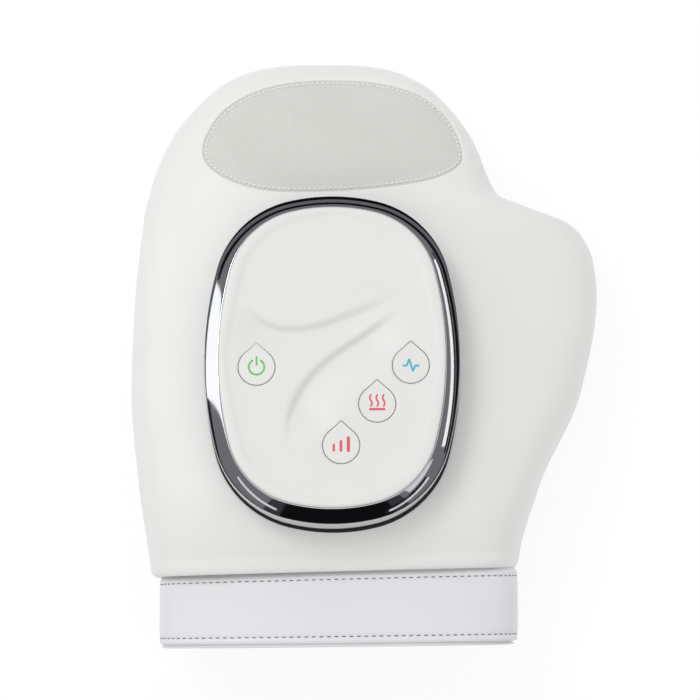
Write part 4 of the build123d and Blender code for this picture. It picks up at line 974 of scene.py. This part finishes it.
def cover_height(points):
    """Height of the cover's surface in the pod's frame. The dish starts closer to the rim on the axes."""
    inset = pod_inset(points[:, 0], points[:, 1])
    turn = np.arctan2(points[:, 1], points[:, 0])
    start = RING_WIDTH + 1.75 + 2.2 * np.abs(np.sin(2 * turn)) ** 0.7
    deep = 0.45 + 0.25 * np.cos(turn - math.radians(140))
    drop = 0.35 * smooth_step((inset - start + 1.5) / 9) + deep * smooth_step((inset - start) / 1.7)
    height = RIM_Z - (RIM_Z - FIELD_Z) * (drop + (0.65 - deep) * smooth_step((inset - start) / 16))
    height = height + crease_height(points, UPPER_CREASE, 1.8, 3.0, 20, 0.2, 0.35)
    return height + crease_height(points, LOWER_CREASE[::-1], 2.5, 2.2, 22, 0.28, 0.25)


print("lower crease is", round(float(np.linalg.norm(np.diff(LOWER_CREASE, axis=0), axis=1).sum())), "mm long")

# %% [markdown]
# The keys are drops: a circle drawn out to a point towards the fingers. The same outline, a little larger, makes the
# holes, so a hair of dark gap shows round each key as in the photograph.

# %% Cover
KEYS = {"power": (-30.7, -4.8), "mode": (32.0, -4.0), "heat": (18.3, -20.0), "level": (3.7, -37.0)}
COVER_EDGE, EDGE_R = RING_WIDTH + 1.25, 1.1


def drop_outline(grow):
    """The key's outline about its centre, larger by a margin."""
    big, small, reach = 7.4 + grow, 0.5 + grow, 9.3
    lean = math.asin((big - small) / reach)
    low = np.linspace(math.pi - lean, 2 * math.pi + lean, 72)
    high = np.linspace(lean, math.pi - lean, 9)[1:-1]
    bottom = np.stack([big * np.cos(low), big * np.sin(low)], axis=-1)
    top = np.stack([small * np.cos(high), reach + small * np.sin(high)], axis=-1)
    return np.vstack([bottom, top])


holes = [drop_outline(0.3) + place for place in KEYS.values()]
flat, triangles, rings = cut_sheet(pod_outline(COVER_EDGE), holes, 1.15)
edge_rows = [
    pod_row(COVER_EDGE - EDGE_R * math.sin(a), RIM_Z - EDGE_R + EDGE_R * math.cos(a))
    for a in np.radians([20, 40, 60, 78, 90])
]
edge_rows.append(pod_row(RING_WIDTH + 0.15, 15.8))
points, faces = np.column_stack([flat, cover_height(flat)]), [tuple(t) for t in triangles]
points, faces = hem(points, faces, rings[0], edge_rows, flip=True)
for ring, place in zip(rings[1:], KEYS.values()):
    hole_rows = []
    for grow, drop in ((0.28, 0.03), (0.26, 0.1), (0.25, 0.25), (0.25, 2.2)):
        line = drop_outline(grow) + place
        hole_rows.append(np.column_stack([line, cover_height(line) - drop]))
    points, faces = hem(points, faces, ring, hole_rows)
cover = mesh_object("dished_cover", from_pod(points), faces, FINISHES["white_abs"])
print("cover has", len(cover.data.polygons), "faces")

# %% [markdown]
# Each key carries a printed mark about 7 mm across. A mark is a set of thin raised strokes with round ends, drawn
# on the key's top and riding on the key's own body, so it goes down with it. The mode key gets a plain pulse line.

# %% Strokes of the printed marks


def stroke(points, width):
    """The outline of a round-ended stroke along a line."""
    p = np.asarray(points, float)
    along = np.gradient(p, axis=0)
    along /= np.linalg.norm(along, axis=1, keepdims=True)
    side = np.stack([-along[:, 1], along[:, 0]], axis=-1) * width / 2
    caps = []
    for spot, direction in ((p[-1], along[-1]), (p[0], -along[0])):
        turn = math.atan2(direction[1], direction[0]) + math.pi / 2 - np.linspace(0, math.pi, 9)
        caps.append(spot + width / 2 * np.stack([np.cos(turn), np.sin(turn)], axis=-1))
    return np.vstack([(p + side)[1:-1], caps[0], (p - side)[::-1][1:-1], caps[1]])


def bar(x, low, high, width):
    return stroke(np.linspace((x, low), (x, high), 6), width)


def wave(x):
    y = np.linspace(-0.9, 3.7, 24)
    return stroke(np.stack([x + 0.42 * np.sin((y + 0.9) / 4.6 * 2 * math.pi), y], axis=-1), 0.72)


turn = np.radians(np.linspace(122, 418, 60))
ring_stroke = stroke(3.15 * np.stack([np.cos(turn), np.sin(turn)], axis=-1), 0.78)
pulse = [(-3.1, -0.2), (-1.7, -0.2), (-0.7, 2.5), (0.8, -2.5), (1.7, -0.2), (3.1, -0.2)]
MARKS = {
    "power": ("green_ink", [ring_stroke, bar(0, 0.9, 4.1, 0.78)]),
    "mode": ("blue_ink", [stroke(even_spacing(pulse, 60, closed=False), 0.8)]),
    "heat": ("red_ink", [wave(-2.6), wave(0.0), wave(2.6), stroke(np.linspace((-2.8, -2.2), (2.8, -2.2), 6), 1.0)]),
    "level": ("red_ink", [bar(-3.0, -2.2, 0.2, 0.95), bar(-0.1, -2.2, 1.6, 1.1), bar(2.9, -2.2, 3.0, 1.3)]),
}
print("strokes in all:", sum(len(strokes) for ink, strokes in MARKS.values()))

# %% [markdown]
# Triangulation fills each outline, also where the pulse line crosses itself at a sharp corner. Edges that only one
# triangle uses are the outline's true border, so the low walls grow from them.

# %% Printed marks
KEY_TOP, INK_TOP, INK_FOOT = 18.25, 0.04, -0.02


def printed_mark(name, ink, strokes):
    """All strokes of one key as a thin raised mesh."""
    points, faces = [], []
    for line in strokes:
        n = len(line)
        border = [(i, (i + 1) % n) for i in range(n)]
        result = delaunay_2d_cdt([Vector(p) for p in (line + KEYS[name]).tolist()], border, [], 1, 1e-6)
        top, low = len(points), len(points) + len(result[0])
        points += [(p[0], p[1], KEY_TOP + z) for z in (INK_TOP, INK_FOOT) for p in result[0]]
        faces += [tuple(top + i for i in t) for t in result[2]]
        edges = {(t[i], t[(i + 1) % 3]) for t in result[2] for i in range(3)}
        faces += [(top + b, top + a, low + a, low + b) for a, b in edges if (b, a) not in edges]
    made = mesh_object(name + "_mark", from_pod(points), faces, ink)
    edit_mesh(made, face_outward)
    made.data.set_sharp_from_angle(angle=math.radians(30))
    return made


marks = {name: printed_mark(name, FINISHES[ink], strokes) for name, (ink, strokes) in MARKS.items()}
print("marks:", {name: len(mark.data.polygons) for name, mark in marks.items()})

# %% [markdown]
# Inside the cuff is a soft lining for the palm and fingers, with a stall for the thumb. Two closed shells overlap,
# and a voxel remesh melts them into one bag without any fitting. The bag is opened at the mouth, drawn in a little
# by the cloth solver so that it hangs like fabric, and given the cloth's thickness.

# %% The two shells of the lining
# Rows of y, middle x, half width, lowest z and highest z of the space for the hand.
POCKET = [
    (-132.0, -12.9, 66.0, 11.5, 59.0), (-112.0, -12.9, 65.0, 12.0, 58.0), (-92.0, -14.0, 63.0, 13.0, 56.0),
    (-60.0, -18.0, 59.0, 14.0, 53.5), (-20.0, -20.0, 57.0, 14.0, 50.0), (20.0, -20.0, 55.0, 14.0, 46.0),
    (60.0, -19.0, 49.0, 15.0, 41.0), (84.0, -18.0, 39.0, 17.0, 37.0), (98.0, -17.0, 25.0, 20.0, 33.0),
]
GROW = 0.3
STALL_START, STALL_LENGTH, STALL_R, STALL_TIP_R = np.array([4.0, -52.0, 31.0]), 106.4, 15.3, 12.8
UP = np.array([0, 0, 1.0])


def pocket_at(y):
    """Middle x, half width, middle z and half height of the hand's space at y."""
    x, half, low, high = (monotone(POCKET, k, y) for k in (1, 2, 3, 4))
    return x, half, (low + high) / 2, (high - low) / 2


def closed_tube(rings):
    """Rings joined into a tube, with both ends closed by fans."""
    n, count = len(rings[0]), len(rings)
    points = np.vstack([*rings, rings[0].mean(axis=0)[None], rings[-1].mean(axis=0)[None]])
    first, start = count * n, (count - 1) * n
    faces = grid_faces(count, n, closed=True) + [(first, (i + 1) % n, i) for i in range(n)]
    return points, faces + [(first + 1, start + i, start + (i + 1) % n) for i in range(n)]


turns = np.linspace(0, 2 * math.pi, 96, endpoint=False)
c, s = np.cos(turns), np.sin(turns)
r = superellipse(c, s, 2.5)
hand_rings = []
for y in np.linspace(-131, 98, 70):
    x0, half, middle, rise = pocket_at(y)
    x, z = x0 + (half + GROW) * r * c, middle + (rise + GROW) * r * s
    hand_rings.append(np.stack([x, np.full_like(x, y), z], axis=-1))
along = np.array([69.0, 81.0, 0.0]) / math.hypot(69, 81)
side = np.array([along[1], -along[0], 0.0])
stall_rings = []
for t in [*np.linspace(0, STALL_LENGTH, 30), *(STALL_LENGTH + STALL_TIP_R * np.sin(np.linspace(0.15, 1.5, 8)))]:
    size = STALL_R - (STALL_R - STALL_TIP_R) * min(t, STALL_LENGTH) / STALL_LENGTH
    if t > STALL_LENGTH:
        size = STALL_TIP_R * math.sqrt(max(0.0004, 1 - ((t - STALL_LENGTH) / STALL_TIP_R) ** 2))
    stall_rings.append(STALL_START + along * t + size * (c[:, None] * side + s[:, None] * UP))
(hand, hand_faces), (stall, stall_faces) = closed_tube(hand_rings), closed_tube(stall_rings)
both_faces = hand_faces + [tuple(i + len(hand) for i in f) for f in stall_faces]
print("shells have", len(both_faces), "faces")

# %% [markdown]
# The same remesh also rounds the foam further down, so it gets a helper. Nearly all of the bag's wall is free to
# move in the solver, and only its mouth is pinned.

# %% Lining
MOUTH_Y, LINING_THICKNESS = -120.5, 0.8


def melt(obj, voxel_mm):
    """Adds a voxel remesh, which makes one smooth skin of whatever overlaps."""
    remesh = obj.modifiers.new("melt", "REMESH")
    remesh.mode, remesh.voxel_size, remesh.use_smooth_shade = "VOXEL", voxel_mm * MM, True


def open_mouth(shell):
    """Cuts the bag open at the wrist and relaxes it once."""
    parts = [*shell.verts, *shell.edges, *shell.faces]
    bmesh.ops.bisect_plane(shell, geom=parts, plane_co=(0, MOUTH_Y * MM, 0), plane_no=(0, -1, 0), clear_outer=True)
    bmesh.ops.smooth_vert(shell, verts=shell.verts, factor=0.5, use_axis_x=True, use_axis_y=True, use_axis_z=True)


lining = mesh_object("hand_lining_cloth", np.vstack([hand, stall]), both_faces, FINISHES["lining"])
edit_mesh(lining, face_outward)
melt(lining, 2.6)
freeze(lining)
edit_mesh(lining, open_mouth)
coat(lining, FINISHES["lining"])
mouth = np.array([v.co.y for v in lining.data.vertices]) / MM
swell(lining, np.where(mouth < -116, 1.0, 0.3), -0.25, 1.2, frames=10)
wall = lining.modifiers.new("cloth", "SOLIDIFY")
wall.thickness, wall.offset = LINING_THICKNESS * MM, -1.0
freeze(lining)
print("lining has", len(lining.data.polygons), "faces")

# %% [markdown]
# Two air bags press the hand from above and below. Each is two welded films, so it is thin at its edge and along its
# weld lines and swells into cells between them. A grid over the hand's space with a cell rule for its thickness
# draws both faces of a bag at once.

# %% Air bags
BAG_START, BAG_END, BAG_ROWS, BAG_COLUMNS = -79, 73, 92, 84
CELLS_ACROSS, CELLS_ALONG = 4, 6


def air_bag(name, low_left, low_right, upper):
    """A closed, curved bag with welded cells, over or under the hand."""
    us = np.linspace(0, 1, BAG_COLUMNS)
    outer, inner = [], []
    for y in np.linspace(BAG_START, BAG_END, BAG_ROWS):
        x0, half, middle, rise = pocket_at(y)
        levels = [min(max(abs(z - middle) / (rise + 2.2), 0.02), 0.98) for z in (low_right, low_left)]
        first, last = (math.asin(level**1.25) for level in levels)
        turn = (first + (math.pi - last - first) * us) * (1 if upper else -1)
        c, s = np.cos(turn), np.sin(turn)
        rib = abs(math.sin(math.pi * CELLS_ALONG * (y - BAG_START) / (BAG_END - BAG_START)))
        thick = 0.35 + 2.5 * np.sqrt(np.abs(np.sin(math.pi * CELLS_ACROSS * us)) * rib)
        for store, grow in ((outer, 2.3 + thick), (inner, 2.25)):
            x = x0 + np.sign(c) * (half + grow) * np.abs(c) ** 0.8
            z = middle + np.sign(s) * (rise + grow) * np.abs(s) ** 0.8
            store.append(np.stack([x, np.full_like(x, y), z], axis=-1))
    shift = BAG_ROWS * BAG_COLUMNS
    grid = np.arange(shift).reshape(BAG_ROWS, BAG_COLUMNS)
    rim = [*grid[0], *grid[1:, -1], *grid[-1, -2::-1], *grid[-2:0:-1, 0]]
    sheet = grid_faces(BAG_ROWS, BAG_COLUMNS)
    faces = sheet + [tuple(i + shift for i in f[::-1]) for f in sheet]
    faces += [(a, b, b + shift, a + shift) for a, b in zip(rim, rim[1:] + rim[:1])]
    bag = mesh_object(name, np.vstack(outer + inner), faces, FINISHES["air_bag_film"])
    edit_mesh(bag, face_outward)
    return bag


back_bag = air_bag("back_air_cells", 37.0, 48.5, True)
palm_bag = air_bag("palm_air_cells", 25.0, 17.5, False)
print("each bag has", CELLS_ACROSS * CELLS_ALONG, "cells")

# %% [markdown]
# The foam layers and the cuff's padding fill the space between skin and bags. Their CAD solids have the right room
# but hard edges. A copy of each is merged, remeshed at 3 mm and relaxed, which rounds every edge the way cut foam
# rounds, and the copy then stands for the solid.

# %% Foam layers


def soft_copy(name, source):
    """A rounded copy of a CAD soft solid."""
    copy = add_object(name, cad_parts[source].data.copy())
    edit_mesh(copy, lambda shell: bmesh.ops.remove_doubles(shell, verts=shell.verts, dist=0.01 * MM))
    melt(copy, 3.0)
    ease = copy.modifiers.new("relax", "SMOOTH")
    ease.factor, ease.iterations = 0.5, 3
    freeze(copy)
    coat(copy, FINISHES["foam"])
    return copy


upper_pad = soft_copy("upper_foam_pad", "upper_foam")
lower_pad = soft_copy("lower_foam_pad", "lower_foam")
cuff_padding = soft_copy("cuff_padding", "cuff_pad")
print("foam pieces have", [len(pad.data.polygons) for pad in (upper_pad, lower_pad, cuff_padding)], "faces")

# %% [markdown]
# Now each finished piece is handed over: it rides on its body and stands for the CAD node that it replaces, if it
# replaces one, which is hidden.

# %% Bodies and replaced nodes
HANDED_OVER = [
    (upper_leather, "leather", "upper_cover", 0.95),
    (lower_leather, "leather", "lower_cover", 0.95),
    (window_panel, "window_fabric", "finger_window", 0.9),
    (cuff, "cuff_leather", "cuff_band", 0.9),
    (lining, "lining", "hand_lining", 0.6),
    (window_stitches, "window_fabric", None, None),
    *((row, "cuff_leather", None, None) for row in cuff_stitches),
    (chrome_ring, "chrome", "trim_ring", None),
    (seal_lip_painted_shade, "rubber", None, None),
    (cover, "white_abs", "top_cover", None),
    (back_bag, "air_bag_film", "back_air_bag", 0.6),
    (palm_bag, "air_bag_film", "palm_air_bag", 0.6),
    (upper_pad, "foam", "upper_foam", 1.0),
    (lower_pad, "foam", "lower_foam", 1.0),
    (cuff_padding, "foam", "cuff_pad", 0.9),
]
for piece, slot_name, node_name, fill in HANDED_OVER:
    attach(piece, "massager")
    if node_name:
        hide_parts(node_name)
    print(piece.name, "has", len(piece.data.polygons), "faces")
for name, mark in marks.items():
    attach(mark, name + "_key")

# %% [markdown]
# The photograph is a white studio shot from almost straight above. A pale world lights everything evenly, a large
# soft lamp at the upper left models the forms, and the floor turns white for the camera but keeps a faint shadow.

# %% World, lamp and floor
AMBIENT, FLOOR_WHITE, FLOOR_HALF = 0.86, 0.86, 2500.0
scene = bpy.context.scene
scene.view_settings.view_transform = "Standard"
scene.world = bpy.data.worlds.new("pale_studio")


def seen_directly(tree):
    """1 for rays that show the background itself, in the camera, in metal or through glass."""
    rays = node(tree, "ShaderNodeLightPath").outputs
    pair = node(tree, "ShaderNodeMath", {0: rays["Is Camera Ray"], 1: rays["Is Glossy Ray"]}, operation="MAXIMUM")
    either = {0: pair.outputs[0], 1: rays["Is Transmission Ray"]}
    return node(tree, "ShaderNodeMath", either, operation="MAXIMUM").outputs[0]


tree = empty_tree(scene.world)
soft, white = (
    node(tree, "ShaderNodeBackground", {"Color": (1, 1, 1, 1), "Strength": strength}).outputs[0]
    for strength in (AMBIENT, 1.0)
)
mixed = node(tree, "ShaderNodeMixShader", {0: seen_directly(tree), 1: soft, 2: white})
node(tree, "ShaderNodeOutputWorld", {"Surface": mixed.outputs[0]})

lamp_data = bpy.data.lights.new("soft_key", "AREA")
lamp_data.shape, lamp_data.size, lamp_data.energy = "DISK", 0.6, 6.9
lamp = add_object("soft_key", lamp_data)
lamp.location = (-0.6, 0.7, 1.5)
lamp.rotation_euler = (Vector((0, 0, 0.03)) - lamp.location).to_track_quat("-Z", "Y").to_euler()

floor_material = bpy.data.materials.new("pale_studio_floor")
tree = empty_tree(floor_material)
paper = node(tree, "ShaderNodeBsdfDiffuse", {"Color": paint("FFFFFF")})
glow = node(tree, "ShaderNodeEmission", {"Color": (1, 1, 1, 1), "Strength": seen_directly(tree)})
share = node(tree, "ShaderNodeMath", {0: seen_directly(tree), 1: FLOOR_WHITE}, operation="MULTIPLY")
mixed = node(tree, "ShaderNodeMixShader", {0: share.outputs[0], 1: paper.outputs[0], 2: glow.outputs[0]})
node(tree, "ShaderNodeOutputMaterial", {"Surface": mixed.outputs[0]})
corners = [(x * FLOOR_HALF, y * FLOOR_HALF, -0.3) for x, y in ((-1, -1), (1, -1), (1, 1), (-1, 1))]
floor = mesh_object("floor", corners, [(0, 1, 2, 3)], floor_material)
print("lamp stands", round(lamp.location.length, 2), "m away")

# %% [markdown]
# Chrome shows only what stands round it. Black and grey flags close round the object, seen by nothing but
# reflections, and a dark table near it gives the ring its black outer line. A white card at the left, a card and a
# strip at the right and two slim strips towards the wrist give the bright streaks.

# %% Flags and cards that only the chrome sees


def reflector(name, azimuths, rims, code, strength=1.0):
    """A glowing sheet round the pod between two rims, each a radius and a height, seen only in reflections."""
    turns = np.radians(np.linspace(*azimuths, 49))
    points = [(POD[0] + r * math.cos(a), POD[1] + r * math.sin(a), z) for r, z in rims for a in turns]
    material = bpy.data.materials.new(name)
    tree = empty_tree(material)
    glow = node(tree, "ShaderNodeEmission", {"Color": paint(code), "Strength": strength})
    node(tree, "ShaderNodeOutputMaterial", {"Surface": glow.outputs[0]})
    made = mesh_object(name, points, grid_faces(2, 49), material)
    made.visible_camera = made.visible_diffuse = made.visible_shadow = made.visible_transmission = False
    return made


# Upright ones: azimuths, lowest and highest elevation in degrees, radius in millimetres, colour and strength.
UPRIGHT = {
    "low_flag": ((0, 360), (-4, 3), 900, "0C0C0E", 1.0),
    "grey_flag": ((0, 360), (3, 58), 900, "7A7A7D", 1.0),
    "wrist_side_flag": ((236, 310), (0, 66), 885, "3C3C40", 1.0),
    "wrist_flag": ((248, 299), (0, 66), 880, "121214", 1.0),
    "left_card": ((155, 177), (-3, 56), 800, "FFFFFF", 1.35),
    "right_strip": ((-6, 36), (9, 15.5), 800, "FFFFFF", 1.2),
    "right_flag": ((-10, 40), (5, 8.5), 800, "2A2A2D", 1.0),
    "low_right_card": ((-44, -14), (27, 46), 800, "E8E8EA", 1.0),
    "low_left_strip": ((208, 244), (19.5, 23), 790, "F4F4F6", 1.0),
    "low_right_strip": ((296, 332), (16, 19.5), 790, "F4F4F6", 1.0),
    "low_right_flag": ((296, 332), (20, 24), 790, "18181A", 1.0),
}
for name, (azimuths, elevations, radius, code, strength) in UPRIGHT.items():
    rims = [(radius, radius * math.tan(math.radians(e)) + 60) for e in elevations]
    reflector(name, azimuths, rims, code, strength)
for name, low, high, code in (("near_table", 190, 380, "0C0C0E"), ("far_table", 380, 905, "6E6E72")):
    reflector(name, (0, 360), [(low, 0.2), (high, 0.2)], code)

# %% [markdown]
# The camera stands where the photographer's did: 85 degrees up on the wrist's side, far enough away that the
# perspective stays flat, with the lens worked out so that the mitten fills the frame as it does in the photograph.

# %% Camera
camera_data = bpy.data.cameras.new("camera")
camera_data.sensor_width, camera_data.lens = 36.0, 143.5
camera = add_object("camera", camera_data)
aim = Vector((-6.45, 1.31, 28.0)) * MM
camera.location = aim + Vector((0, -0.09411, 0.99556)) * 1.2
camera.rotation_euler = (aim - camera.location).to_track_quat("-Z", "Y").to_euler()
scene.camera = camera
print("camera at", [round(c, 3) for c in camera.location])
